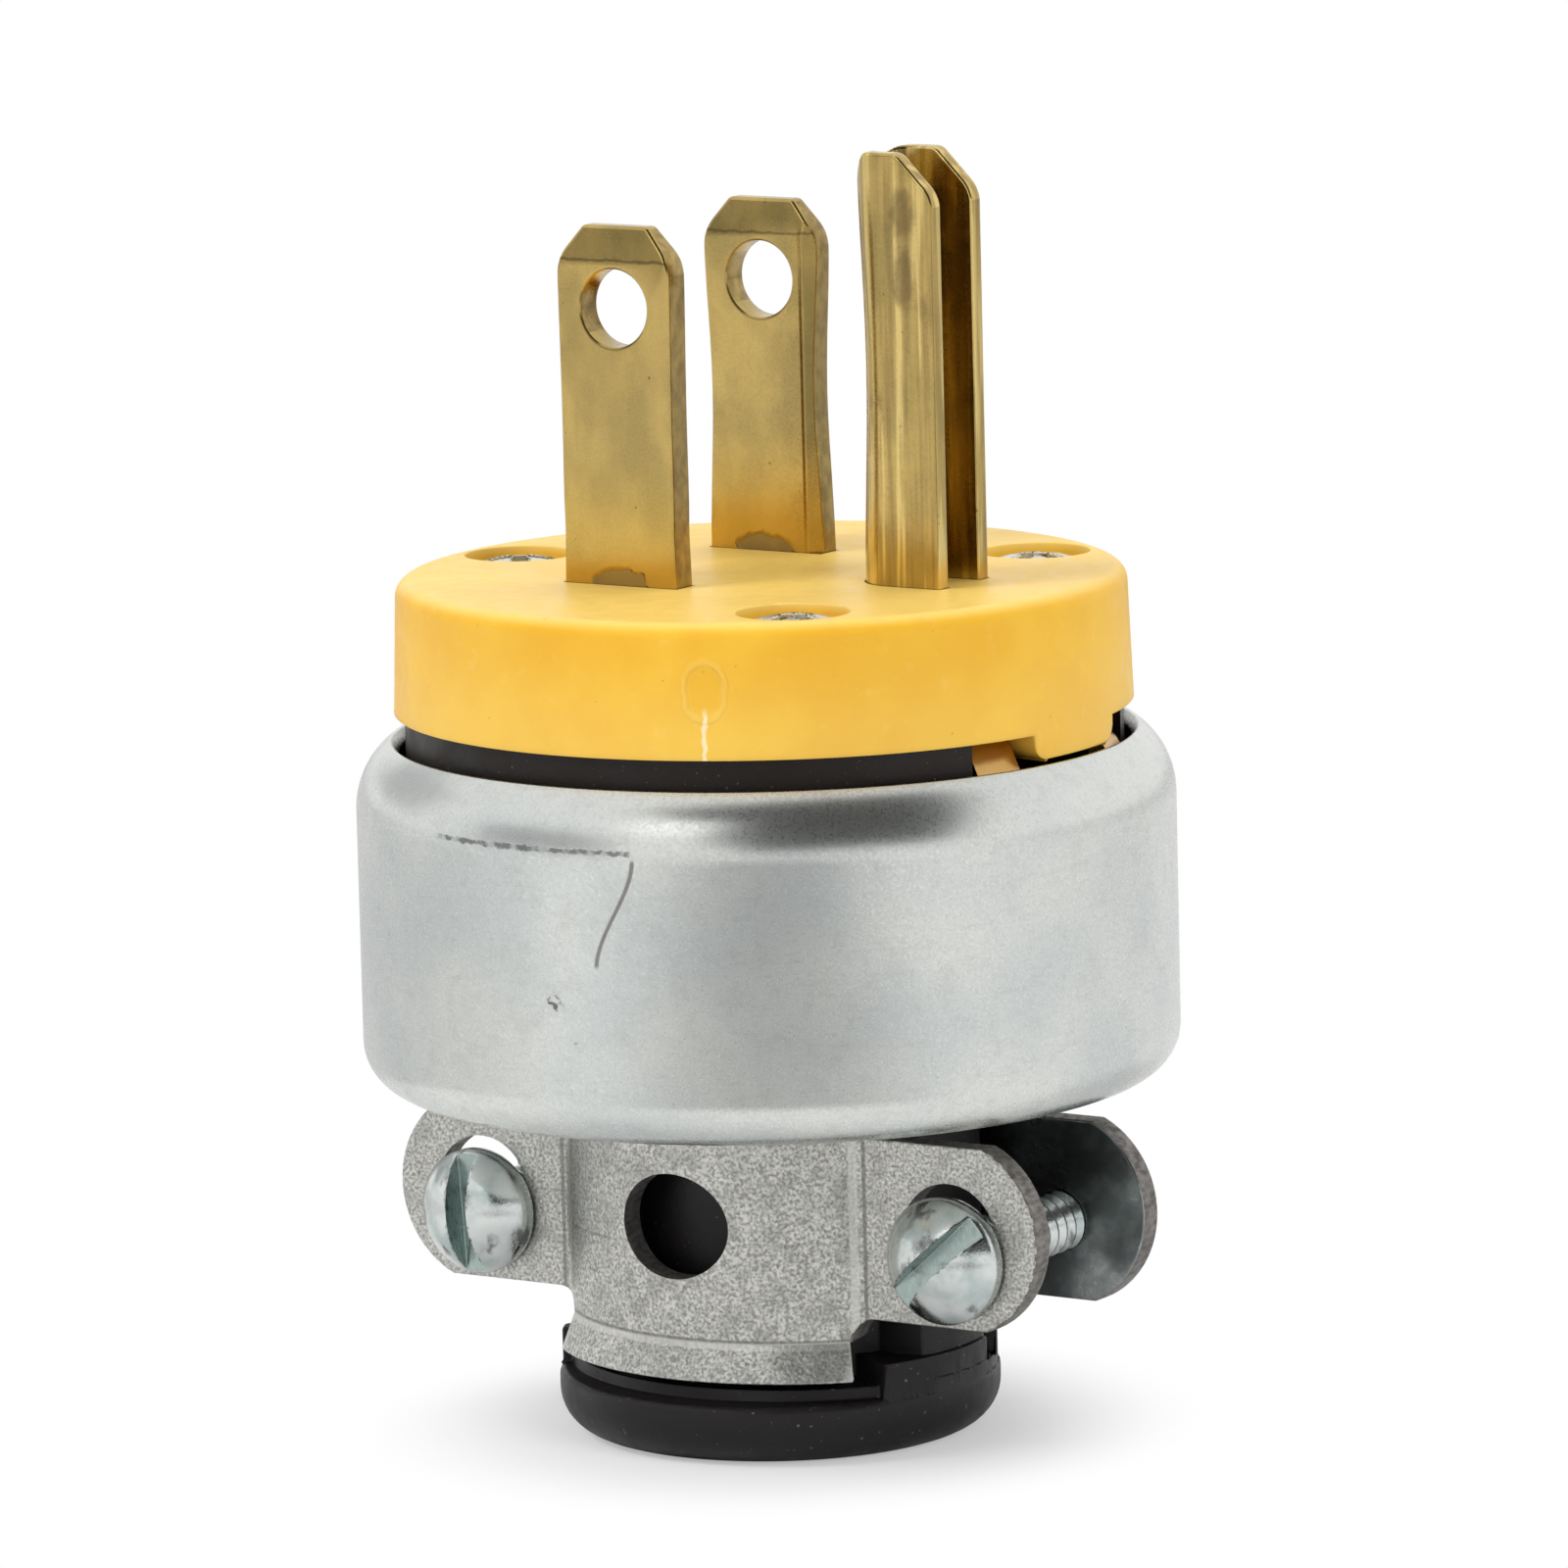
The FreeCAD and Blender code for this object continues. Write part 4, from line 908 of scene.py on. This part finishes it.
# Cord bush: the rubber sleeve that the cord enters by, with a flange below the clamp and two key blocks.
# It is moulded in black rubber with a satin skin, and it holds a little pale dust.
# The clamp's halves close round its lens-shaped sleeve, and the blocks keep it from turning between the ears.
FLANGE_HEIGHT = 3.6
FLANGE_EDGE = 2.1
FLANGE_TOP_EDGE = 0.35
SEAT_HEIGHT = 0.6
SEAT_RADIUS = 11.2
SEAT_GAP = 0.1
CHEEK_TOP = 4.7
CHEEK_HALF = 29.0
CHEEK_SLOT = (14.0, 24.0)
CHEEK_SLOT_DEPTH = 1.2
KEY_BLOCK_INSET = 0.35
CORD_RADIUS = 5.5
BUSH_EDGE = 0.12
BUSH_STEPS = 192
SLEEVE_RADIUS = 8.9
SLEEVE_OFFSET = 2.1
KEY_BLOCK_HALF = 2.8
KEY_BLOCK_TOP = 15.6
RUBBER_BLACK = (0.006, 0.005, 0.0055, 1)
RUBBER_GREY = (0.012, 0.010, 0.010, 1)
RUBBER_DUST = (0.14, 0.13, 0.12, 1)


def black_rubber():
    finish, place = new_finish("black_rubber")
    clouds = cloud(place, 2.5, detail=4)
    skin = cloud(place, 0.12)
    colour = mingle(clouds, RUBBER_BLACK, RUBBER_GREY)
    shade(finish, {
        "Base Color": tint(colour, RUBBER_DUST, cloud(place, 0.22, detail=1), 0.73, 0.77, 0.8),
        "Roughness": spread(clouds, 0.3, 0.7, 0.34, 0.50),
        "Specular IOR Level": 0.3,
        "Normal": relief(skin, 0.008, relief(clouds, 0.03)),
    })
    return finish


def lens_outline(radius, steps=48):
    """A lens of two arcs that follow the insides of the clamp's halves."""
    reach = math.degrees(math.acos(SLEEVE_OFFSET / radius))
    return (arc(0, SLEEVE_OFFSET, radius, -90 - reach, -90 + reach, steps)[:-1]
            + arc(0, -SLEEVE_OFFSET, radius, 90 - reach, 90 + reach, steps)[:-1])


def sector_outline(inner, outer, start, end):
    return arc(0, 0, outer, start, end) + arc(0, 0, inner, end, start)


def cord_bush():
    high = span("cord_bush")[1]
    radius = high.x
    ledge = FLANGE_HEIGHT - SEAT_HEIGHT
    profile = (arc(radius - FLANGE_EDGE, FLANGE_EDGE, FLANGE_EDGE, -90, 0, 12)
               + arc(radius - FLANGE_TOP_EDGE, ledge - FLANGE_TOP_EDGE, FLANGE_TOP_EDGE, 0, 90, 6))
    bush = lathe("rubber_bush", profile, BUSH_STEPS)
    inside = ledge - FLANGE_TOP_EDGE
    rim = radius - SEAT_GAP
    seat = slab("lip_seat", at_level(lens_outline(SEAT_RADIUS), inside), (0, 0, FLANGE_HEIGHT - inside))
    carve(seat, lathe("seat_rim", [(rim, 0), (rim, 2 * FLANGE_HEIGHT)], BUSH_STEPS), "INTERSECT")
    carve(bush, seat, "UNION")
    sleeve = slab("sleeve", at_level(lens_outline(SLEEVE_RADIUS), inside), (0, 0, high.z - inside))
    carve(bush, sleeve, "UNION")
    for side in (0, 180):
        cheek_outline = sector_outline(CORD_RADIUS, rim - WELD / MM, side - CHEEK_HALF, side + CHEEK_HALF)
        cheek = slab("cheek", at_level(cheek_outline, inside), (0, 0, CHEEK_TOP - inside))
        notch = sector_outline(rim - CHEEK_SLOT_DEPTH, 2 * rim, side + CHEEK_SLOT[0], side + CHEEK_SLOT[1])
        carve(cheek, slab("notch", at_level(notch, CHEEK_TOP - CHEEK_SLOT_DEPTH), (0, 0, CHEEK_TOP)))
        carve(bush, cheek, "UNION")
    tier = radius - KEY_BLOCK_INSET
    lean = math.degrees(math.asin(KEY_BLOCK_HALF / tier))
    block = arc(0, 0, tier, -lean, lean, 8) + arc(0, 0, tier, 180 - lean, 180 + lean, 8)
    carve(bush, slab("key_blocks", at_level(block, inside), (0, 0, KEY_BLOCK_TOP - inside)), "UNION")
    drill(bush, CORD_RADIUS, (0, 0, high.z / 2), 2 * high.z)
    soften(bush, BUSH_EDGE)
    return bush


fit(cord_bush(), "cord_bush", black_rubber())

# Cord clamp: two halves stamped from thick steel sheet, which grip the bush and hook over the shell's floor.
# Each has a curved barrel with a round window, two flat ears, a lip flared round the bush and a hook on top.
# The zinc plate is dull and granular, and the sheared edges are darker and brownish. Lines of shade and
# highlight at the bends, and the dark inside, are painted.
CLAMP_SHEET = 1.3
BARREL_RADIUS = 11.3
BARREL_CENTRE = 2.1
EAR_FRONT = 5.6
EAR_HALF_HEIGHT = 4.4
EAR_END_RADIUS = 4.8
EAR_BEND = 0.7
EAR_HOLE = 2.6
WINDOW_RADIUS = 2.55
WINDOW_WIDEN = 1.16
WINDOW_LEVEL = 10.9
TONGUE_HALF = 7.9
TONGUE_TOP = 6.5
TONGUE_FILLET = 1.1
EAR_TOP = 15.3
LIP_BOTTOM = 3.6
LIP_BEND = 5.4
LIP_FLARE = 0.7
LIP_CREASE = 0.2
NECK_HALF = 7.2
NECK_FILLET = 0.9
NECK_TOP = 19.2
HOOK_HALF = 4.95
HOOK_FRONT = 13.4
HOOK_BACK = 8.4
HOOK_CORNER = 1.5
JAW_LIFT = 0.4
CLAMP_TAPPED = 1.54
SHEET_EDGE = 0.13
SHEET_SHARP = 40.0
CREASE_SHARP = 18.0
CLAMP_LIGHT = (0.70, 0.695, 0.655, 1)
CLAMP_GREY = (0.30, 0.298, 0.28, 1)
CLAMP_DARK = (0.17, 0.17, 0.158, 1)
CLAMP_INSIDE = (0.38, 0.41, 0.405, 1)
INSIDE_DARK = (0.16, 0.175, 0.175, 1)
EDGE_GREY = (0.22, 0.205, 0.19, 1)
EDGE_DARK = (0.13, 0.115, 0.105, 1)
CREASE_INNER = 8.1
CREASE_OUTER = 8.6
SCORE_LEVEL = 10.4
SCORE_LEAN = 0.035
INSIDE_FACING = 0.6


def granular_zinc():
    """Coarse zinc plate: small crystals that catch the light one by one, blotches, a faint score line, and
    painted shade and highlight lines at the bends.
    """
    finish, place = new_finish("granular_zinc")
    axes = axes_of(place)
    crystals = cloud(place, 0.16, detail=6)
    blotch = cloud(place, 1.1, detail=5)
    fine = cloud(place, 0.22, detail=1)
    colour = tint(CLAMP_LIGHT, CLAMP_GREY, crystals, 0.34, 0.68)
    colour = tint(colour, CLAMP_GREY, blotch, 0.42, 0.72, 0.5)
    colour = tint(colour, CLAMP_DARK, fine, 0.62, 0.76, 0.5)
    # Painted shade and highlight: a dark line and a light line (ridge) along each bend between barrel and
    # ear, and the same pair at the lip's bend.
    aside = calc("ABSOLUTE", axes[0])
    bend_shade_line = line_mask(calc("SUBTRACT", aside, CREASE_OUTER), 0.14)
    ridge = line_mask(calc("SUBTRACT", aside, CREASE_INNER), 0.22)
    lip_level = spread(axes[1], -1.0, 1.0, LIP_BEND + JAW_LIFT, LIP_BEND)
    lip_rise = calc("SUBTRACT", axes[2], lip_level)
    lip_shade_line = line_mask(calc("SUBTRACT", lip_rise, 0.08), 0.14)
    lip_highlight_line = line_mask(calc("ADD", lip_rise, 0.12), 0.22)
    dark = calc("MAXIMUM", bend_shade_line, lip_shade_line)
    light = calc("MAXIMUM", ridge, lip_highlight_line)
    colour = mingle(product(dark, 0.7), colour, CLAMP_DARK)
    colour = mingle(product(light, 0.65), colour, CLAMP_LIGHT)
    score_rise = calc("SUBTRACT", axes[2], calc("ADD", SCORE_LEVEL, product(axes[0], SCORE_LEAN)))
    score_reach = spread(aside, CREASE_INNER - 0.6, CREASE_INNER, 1.0, 0.0)
    score_gaps = spread(cloud(place, 1.5), 0.35, 0.6, 0.1, 0.55)
    score = product(line_mask(score_rise, 0.11), score_reach, score_gaps)
    colour = mingle(score, colour, CLAMP_DARK)
    shade(finish, {
        "Base Color": colour,
        "Metallic": 0.9,
        "Roughness": spread(crystals, 0.3, 0.7, 0.28, 0.46),
        "Normal": relief(crystals, 0.03, relief(blotch, 0.09)),
    })
    return finish


def sheared_edge():
    """The torn, part-plated face that the press leaves round a stamped sheet."""
    finish, place = new_finish("sheared_edge")
    tears = cloud(place, 0.25, detail=3, stretch=(1, 2, 1))
    stain = cloud(place, 0.9, detail=3)
    colour = tint(EDGE_GREY, EDGE_DARK, tears, 0.35, 0.7)
    shade(finish, {
        "Base Color": tint(colour, CLAMP_GREY, stain, 0.45, 0.7, 0.6),
        "Metallic": 0.7,
        "Roughness": spread(tears, 0.3, 0.7, 0.40, 0.62),
        "Normal": relief(tears, 0.01),
    })
    return finish


def shaded_inside_zinc():
    """The half's inside, which lay on the smooth die: bluish and a little greasy, and painted dark as shade
    for the inner faces between the ears.
    """
    finish, place = new_finish("shaded_inside_zinc")
    grease = cloud(place, 2.4, detail=5)
    fine = cloud(place, 0.2)
    shade(finish, {
        "Base Color": tint(CLAMP_INSIDE, INSIDE_DARK, grease, 0.35, 0.62),
        "Metallic": 1.0,
        "Roughness": spread(grease, 0.3, 0.7, 0.24, 0.36),
        "Normal": relief(fine, 0.006),
    })
    return finish


def clamp_plan():
    """The half's section from above: the barrel's two faces, the bends and the flat ears."""
    bend_y = -EAR_FRONT - EAR_BEND
    bend_x = math.sqrt((BARREL_RADIUS + EAR_BEND) ** 2 - (bend_y - BARREL_CENTRE) ** 2)
    lean = math.degrees(math.atan2(bend_x, BARREL_CENTRE - bend_y))
    faces = []
    for depth in (0, CLAMP_SHEET):
        radius = BARREL_RADIUS - depth
        bend = EAR_BEND + depth
        level = depth - EAR_FRONT
        left_bend = arc(-bend_x, bend_y, bend, 90, 90 - lean, 8)
        barrel = arc(0, BARREL_CENTRE, radius, -90 - lean, -90 + lean, 48)
        right_bend = arc(bend_x, bend_y, bend, 90 + lean, 90, 8)
        faces.append([(-ear_end, level)] + left_bend + barrel[1:-1] + right_bend + [(ear_end, level)])
    return faces[0] + faces[1][::-1]


def round_sheet(half, holes):
    """Rounds the sheet's edges, but not the sharp rims of the punched holes."""
    take_up(half)
    bpy.ops.object.mode_set(mode="EDIT")
    bpy.ops.mesh.select_mode(type="EDGE")
    bpy.ops.mesh.select_all(action="DESELECT")
    bpy.ops.mesh.edges_select_sharp(sharpness=math.radians(SHEET_SHARP))
    bpy.ops.object.mode_set(mode="OBJECT")
    for edge in half.data.edges:
        ends = [half.data.vertices[index].co / MM for index in edge.vertices]
        middle = (ends[0] + ends[1]) / 2
        for x, z, radius, widen in holes:
            if math.hypot(middle.x - x, middle.z - z) < radius * widen + SHEET_EDGE:
                edge.select = False
    bpy.ops.object.mode_set(mode="EDIT")
    bpy.ops.mesh.bevel(offset=SHEET_EDGE * MM, segments=3, clamp_overlap=False)
    bpy.ops.object.mode_set(mode="OBJECT")
    even_out(half, CREASE_SHARP)


def square_lip(half):
    """Turns the lip's two ends square to its curve, so that they pass the bush's cheeks."""
    end_turn = math.asin(TONGUE_HALF / BARREL_RADIUS)
    for vertex in half.data.vertices:
        out = Vector((vertex.co.x, vertex.co.y - BARREL_CENTRE * MM))
        if vertex.co.z < LIP_BEND * MM + WELD and math.atan2(abs(out.x), -out.y) > end_turn:
            vertex.co.x = math.copysign(out.length * math.sin(end_turn), out.x)
            vertex.co.y = BARREL_CENTRE * MM - out.length * math.cos(end_turn)
    open_mesh(half)
    bpy.ops.mesh.remove_doubles(threshold=WELD)
    bpy.ops.object.mode_set(mode="OBJECT")


def clamp_half(name, hole_radius, hole_level, edge, inside):
    """One half on the -Y side, with its holes' radius and level."""
    half = slab(name, at_level(clamp_plan(), LIP_BOTTOM - 1), (0, 0, NECK_TOP - LIP_BOTTOM + 1))
    half.data.materials.append(None)
    slice_levels(half, [LIP_BEND - LIP_CREASE, LIP_BEND])
    for vertex in half.data.vertices:
        drop = LIP_BEND - vertex.co.z / MM
        out = Vector((vertex.co.x, vertex.co.y - BARREL_CENTRE * MM))
        if drop > 0 and out.length > 0:
            flared = out * (1 + LIP_FLARE * MM * drop / (LIP_BEND - LIP_BOTTOM) / out.length)
            vertex.co.x = flared.x
            vertex.co.y = flared.y + BARREL_CENTRE * MM
    flared_half = TONGUE_HALF * (1 + LIP_FLARE / BARREL_RADIUS)
    reach = math.degrees(math.asin(EAR_HALF_HEIGHT / EAR_END_RADIUS))
    ear = arc(clamp_screw_x, WINDOW_LEVEL, EAR_END_RADIUS, -reach, reach, 32)
    side = [(flared_half, LIP_BOTTOM, 0), (TONGUE_HALF, LIP_BEND, 0),
            (TONGUE_HALF, TONGUE_TOP, TONGUE_FILLET)]
    side += [(x, z, 0) for x, z in ear]
    side += [(NECK_HALF, EAR_TOP, NECK_FILLET), (NECK_HALF, NECK_TOP, 0)]
    outline = rounded(side + [(-x, z, radius) for x, z, radius in reversed(side)], 16)
    punch = slab("punch", [(x, -3 * EAR_FRONT, z) for x, z in outline], (0, 4 * EAR_FRONT, 0))
    punch.data.materials.append(edge)
    carve(half, punch, "INTERSECT")
    square_lip(half)
    hook = rounded([(-HOOK_HALF, -HOOK_BACK, 0), (-HOOK_HALF, -HOOK_FRONT, HOOK_CORNER),
                    (HOOK_HALF, -HOOK_FRONT, HOOK_CORNER), (HOOK_HALF, -HOOK_BACK, 0)])
    carve(half, slab("hook", at_level(hook, NECK_TOP - CLAMP_SHEET), (0, 0, CLAMP_SHEET)), "UNION")
    along = (math.pi / 2, 0, 0)
    holes = [(0, WINDOW_LEVEL, WINDOW_RADIUS, WINDOW_WIDEN), (-clamp_screw_x, hole_level, hole_radius, 1.0),
             (clamp_screw_x, hole_level, hole_radius, 1.0)]
    for x, z, radius, widen in holes:
        drill(half, radius, (x, -BARREL_RADIUS, z), 2 * BARREL_RADIUS, along, edge, widen)
    round_sheet(half, holes)
    # The faces that look towards the bush take the dark inside finish, which is painted shade.
    half.data.materials.append(inside)
    for face in half.data.polygons:
        if face.normal.y > INSIDE_FACING:
            face.material_index = len(half.data.materials) - 1
    return half


ear_end = span("front_clamp_half")[1].x
left_low, left_high = span("clamp_screw_left")
clamp_screw_x = -(left_low.x + left_high.x) / 2
clamp_screw_z = (left_low.z + left_high.z) / 2
clamp_zinc = granular_zinc()
cut_edge = sheared_edge()
clamp_shaded_inside = shaded_inside_zinc()
front_half = clamp_half("stamped_front_half", EAR_HOLE, WINDOW_LEVEL, cut_edge, clamp_shaded_inside)
set_in_place(front_half, (0, 0, JAW_LIFT))
fit(front_half, "front_clamp_half", clamp_zinc)
rear_half = clamp_half("stamped_rear_half", CLAMP_TAPPED, clamp_screw_z, cut_edge, clamp_shaded_inside)
set_in_place(rear_half, (0, 0, 0), (0, 0, math.pi))
fit(rear_half, "rear_clamp_half", clamp_zinc)

# Clamp screws: two round-headed slotted screws with a fine thread, which draw the clamp's halves together.
# They are cold headed, with rolled threads and a bright zinc plate with a blue-green cast, and dark smears
# that also stand as painted dark reflections on the heads.
# They hang in the front half's wide holes and are tapped into the rear half's ears.
CLAMP_HEAD_RADIUS = 3.05
CLAMP_HEAD_HEIGHT = 2.3
CLAMP_HEAD_RIM = 0.6
CLAMP_SHANK = 1.5
CLAMP_LENGTH = 16.0
CLAMP_POINT = 0.4
CLAMP_SCREW_EDGE = 0.06
CORE_ROOM = 0.02
RUNOUT_START = 0.6
RUNOUT_END = 0.5
CLAMP_SLOT_WIDTH = 1.15
CLAMP_SLOT_DEPTH = 1.45
CLAMP_SLOT_TURNS = {"left": 4.0, "right": -48.0}
THREAD_PITCH = 0.8
THREAD_DEPTH = 0.36
THREAD_TURNS = 19
THREAD_CREST = (0.42, 0.58)
THREAD_STEPS = 28
THREAD_SHARP = 25
SCREW_ZINC = (0.70, 0.73, 0.715, 1)
SCREW_TEAL = (0.46, 0.53, 0.52, 1)
SCREW_SMEAR_AND_REFLECTION = (0.08, 0.085, 0.08, 1)
SLOT_TEAL = (0.40, 0.48, 0.46, 1)


def screw_zinc():
    finish, place = new_finish("screw_zinc")
    haze = cloud(place, 1.6, detail=3)
    # Dark patches: part smears, part painted reflection of the dark room on the domed heads.
    smear_and_reflection = spread(cloud(place, 1.1, detail=5, stretch=(1, 1, 2)), 0.58, 0.70, 0.0, 0.75)
    fine = cloud(place, 0.1)
    colour = tint(SCREW_ZINC, SCREW_TEAL, haze, 0.4, 0.7)
    shade(finish, {
        "Base Color": mingle(smear_and_reflection, colour, SCREW_SMEAR_AND_REFLECTION),
        "Metallic": 1.0,
        "Roughness": calc("ADD", spread(fine, 0.3, 0.7, 0.14, 0.26), product(smear_and_reflection, 0.2)),
        "Normal": relief(fine, 0.005, relief(haze, 0.03)),
    })
    return finish


def rolled_thread(name):
    """A right-hand thread that winds up Z from the screw's point, swept from one ridge's section."""
    root = CLAMP_SHANK - THREAD_DEPTH
    crest = [(CLAMP_SHANK, THREAD_PITCH * share) for share in THREAD_CREST]
    ridge = [(root, 0)] + crest + [(root, THREAD_PITCH)]
    thread = draw_line(name, [(radius, 0, level - CLAMP_LENGTH) for radius, level in ridge])
    bpy.ops.object.mode_set(mode="OBJECT")
    work(thread, "SCREW", screw_offset=THREAD_PITCH * MM, iterations=THREAD_TURNS, steps=THREAD_STEPS,
         render_steps=THREAD_STEPS, use_merge_vertices=True, merge_threshold=WELD)
    open_mesh(thread)
    bpy.ops.mesh.remove_doubles(threshold=WELD)
    close_solid()
    bpy.ops.object.shade_smooth_by_angle(angle=math.radians(THREAD_SHARP))
    return thread


def clamp_screw(side):
    low, high = span("clamp_screw_" + side)
    root = CLAMP_SHANK - THREAD_DEPTH
    core = root + CORE_ROOM
    profile = [(root - CLAMP_POINT, -CLAMP_LENGTH), (core, CLAMP_POINT - CLAMP_LENGTH), (core, -RUNOUT_START),
               (CLAMP_SHANK, -RUNOUT_END), (CLAMP_SHANK, 0)]
    screw = lathe("slotted_screw_" + side,
                  profile + domed_head(CLAMP_HEAD_RADIUS, CLAMP_HEAD_HEIGHT, CLAMP_HEAD_RIM, 16), SCREW_STEPS)
    screw.data.materials.append(None)
    mill_slot(screw, 4 * CLAMP_HEAD_RADIUS, CLAMP_SLOT_WIDTH, CLAMP_SLOT_DEPTH, CLAMP_HEAD_HEIGHT,
              90 + CLAMP_SLOT_TURNS[side], slot_finish)
    soften(screw, CLAMP_SCREW_EDGE)
    thread = rolled_thread("thread")
    take_up(screw)
    thread.select_set(True)
    bpy.ops.object.join()
    seat = Vector(((low.x + high.x) / 2, low.y + CLAMP_HEAD_HEIGHT, (low.z + high.z) / 2))
    set_in_place(screw, seat, (math.pi / 2, 0, 0))
    return screw


clamp_screw_finish = screw_zinc()
slot_finish = plated_screw("clamp_screw_slot", SLOT_TEAL)
for side in CLAMP_SLOT_TURNS:
    fit(clamp_screw(side), "clamp_screw_" + side, clamp_screw_finish)

# Studio: a pale floor that fades to white round the plug, three soft lamps and a white room.
# Grey cards that only reflections see stand where a photographer would hang them, to shape the metal.
# The camera stands where the photograph was taken from, with a long lens.
FLOOR_SIZE = 3.0
FLOOR_TONE = (0.80, 0.80, 0.80, 1)
FADE_START = 10.0
FADE_END = 21.0
FADE_LEAST = 0.4
AMBIENT = 0.45
CAMERA_TURN = 32.94
CAMERA_RISE = 9.385
CAMERA_ROLL = -1.4
CAMERA_DISTANCE = 506.99
CAMERA_ASIDE = 0.86
CAMERA_LEVEL = 31.2
FOCAL_PIXELS = 10795.8
FRAME_PIXELS = 1600
SENSOR = 36.0
LAMPS = {
    "key_lamp": ((-0.35, -0.45, 0.55), 0.35, 3.1),
    "fill_lamp": ((0.65, -0.25, 0.35), 0.5, 2.2),
    "top_lamp": ((0.05, 0.25, 0.8), 0.5, 2.2),
}
HUNG_CARDS = {
    "left_card": ((-0.22, -0.34, 0.13), 0.30, 0.16, 0.46),
    "ceiling_card": ((0.29, -0.203, 0.384), 0.66, 0.70, 0.07),
    "key_card": ((0.026, -0.305, 0.287), 0.12, 0.13, 1.7),
    "side_card": ((-0.46, 0.08, 0.21), 0.30, 0.22, 0.60),
}
FLOOR_CARDS = {
    "camera_card": (0.145, -0.223, 0.13, 0.40, 0.42, CAMERA_TURN),
    "floor_card": (-0.15, 0.03, 0.20, 0.30, 0.75, 0.0),
}
CARD_LIFT = 0.002


def show_as(finish, shader):
    """Shows a shader in place of a material's usual one."""
    nodes = finish.node_tree.nodes
    nodes.remove(nodes["Principled BSDF"])
    wire(nodes["Material Output"], {"Surface": shader})


def pale_floor():
    """A grey-white floor whose colour turns to the background's white away from the plug."""
    finish, place = new_finish("pale_floor")
    tree = finish.node_tree
    axes = axes_of(place)
    seen = add_node(tree, "ShaderNodeLightPath", {})["Is Camera Ray"]
    fade = product(spread(distance(axes[0], axes[1]), FADE_START, FADE_END, FADE_LEAST, 1.0), seen)
    matte = add_node(tree, "ShaderNodeBsdfDiffuse", {"Color": FLOOR_TONE})[0]
    white = add_node(tree, "ShaderNodeEmission", {"Color": (1, 1, 1, 1)})[0]
    show_as(finish, join_node("ShaderNodeMixShader", {0: fade, 1: matte, 2: white})[0])
    return finish


def soft_lamp(name, place, target, size, power):
    data = bpy.data.lights.new(name, "AREA")
    data.shape = "DISK"
    data.size = size
    data.energy = power
    lamp = bpy.data.objects.new(name, data)
    lamp.location = place
    lamp.rotation_euler = (Vector(target) - Vector(place)).to_track_quat("-Z", "Y").to_euler()
    lamp.visible_glossy = False
    bpy.context.scene.collection.objects.link(lamp)


def grey_card(name, place, target, width, height, tone, turn=0.0):
    """A card that faces a target and that only glossy reflections see."""
    bpy.ops.object.select_all(action="DESELECT")
    facing = (Vector(target) - Vector(place)).to_track_quat("Z", "Y").to_matrix()
    facing = (Matrix.Rotation(math.radians(turn), 3, "Z") @ facing).to_euler()
    bpy.ops.mesh.primitive_plane_add(size=1, location=place, rotation=facing)
    card = bpy.context.object
    card.name = name
    card.scale = (width, height, 1)
    finish = new_finish(name)[0]
    show_as(finish, add_node(finish.node_tree, "ShaderNodeEmission", {"Color": (tone, tone, tone, 1)})[0])
    card.data.materials.append(finish)
    card.visible_camera = False
    card.visible_diffuse = False
    card.visible_shadow = False
    card.visible_transmission = False


bpy.ops.object.select_all(action="DESELECT")
bpy.ops.mesh.primitive_plane_add(size=FLOOR_SIZE)
floor = bpy.context.object
floor.name = "floor"
floor.data.materials.append(pale_floor())

middle = (0, 0, 0.03)
for name, (place, size, power) in LAMPS.items():
    soft_lamp(name, place, middle, size, power)
for name, (place, width, height, tone) in HUNG_CARDS.items():
    grey_card(name, place, middle, width, height, tone)
for name, (x, y, width, height, tone, turn) in FLOOR_CARDS.items():
    grey_card(name, (x, y, CARD_LIFT), (x, y, 1), width, height, tone, turn)

world = bpy.data.worlds.new("white_room")
bpy.context.scene.world = world
world.use_nodes = True
room = world.node_tree
rays = add_node(room, "ShaderNodeLightPath", {})
bounced = calc("MAXIMUM", rays["Is Glossy Ray"], rays["Is Transmission Ray"])
bright = calc("MAXIMUM", rays["Is Camera Ray"], bounced)
strength = spread(bright, 0.0, 1.0, AMBIENT, 1.0)
wire(room.nodes["Background"], {"Color": (1, 1, 1, 1), "Strength": strength})

turn = math.radians(CAMERA_TURN)
rise = math.radians(CAMERA_RISE)
roll = math.radians(CAMERA_ROLL)
level_right = Vector((math.cos(turn), math.sin(turn), 0))
backwards = Vector((math.sin(turn) * math.cos(rise), -math.cos(turn) * math.cos(rise), math.sin(rise)))
level_up = backwards.cross(level_right)
camera_right = level_right * math.cos(roll) + level_up * math.sin(roll)
camera_up = level_up * math.cos(roll) - level_right * math.sin(roll)
aim = level_right * CAMERA_ASIDE + Vector((0, 0, CAMERA_LEVEL))
lens = bpy.data.cameras.new("camera")
lens.sensor_width = SENSOR
lens.lens = SENSOR * FOCAL_PIXELS / FRAME_PIXELS
lens.clip_start = 0.01
camera = bpy.data.objects.new("camera", lens)
axes = Matrix((camera_right, camera_up, backwards)).transposed().to_4x4()
camera.matrix_world = Matrix.Translation((aim + backwards * CAMERA_DISTANCE) * MM) @ axes
bpy.context.scene.collection.objects.link(camera)
bpy.context.scene.camera = camera
bpy.context.scene.view_settings.view_transform = "Standard"
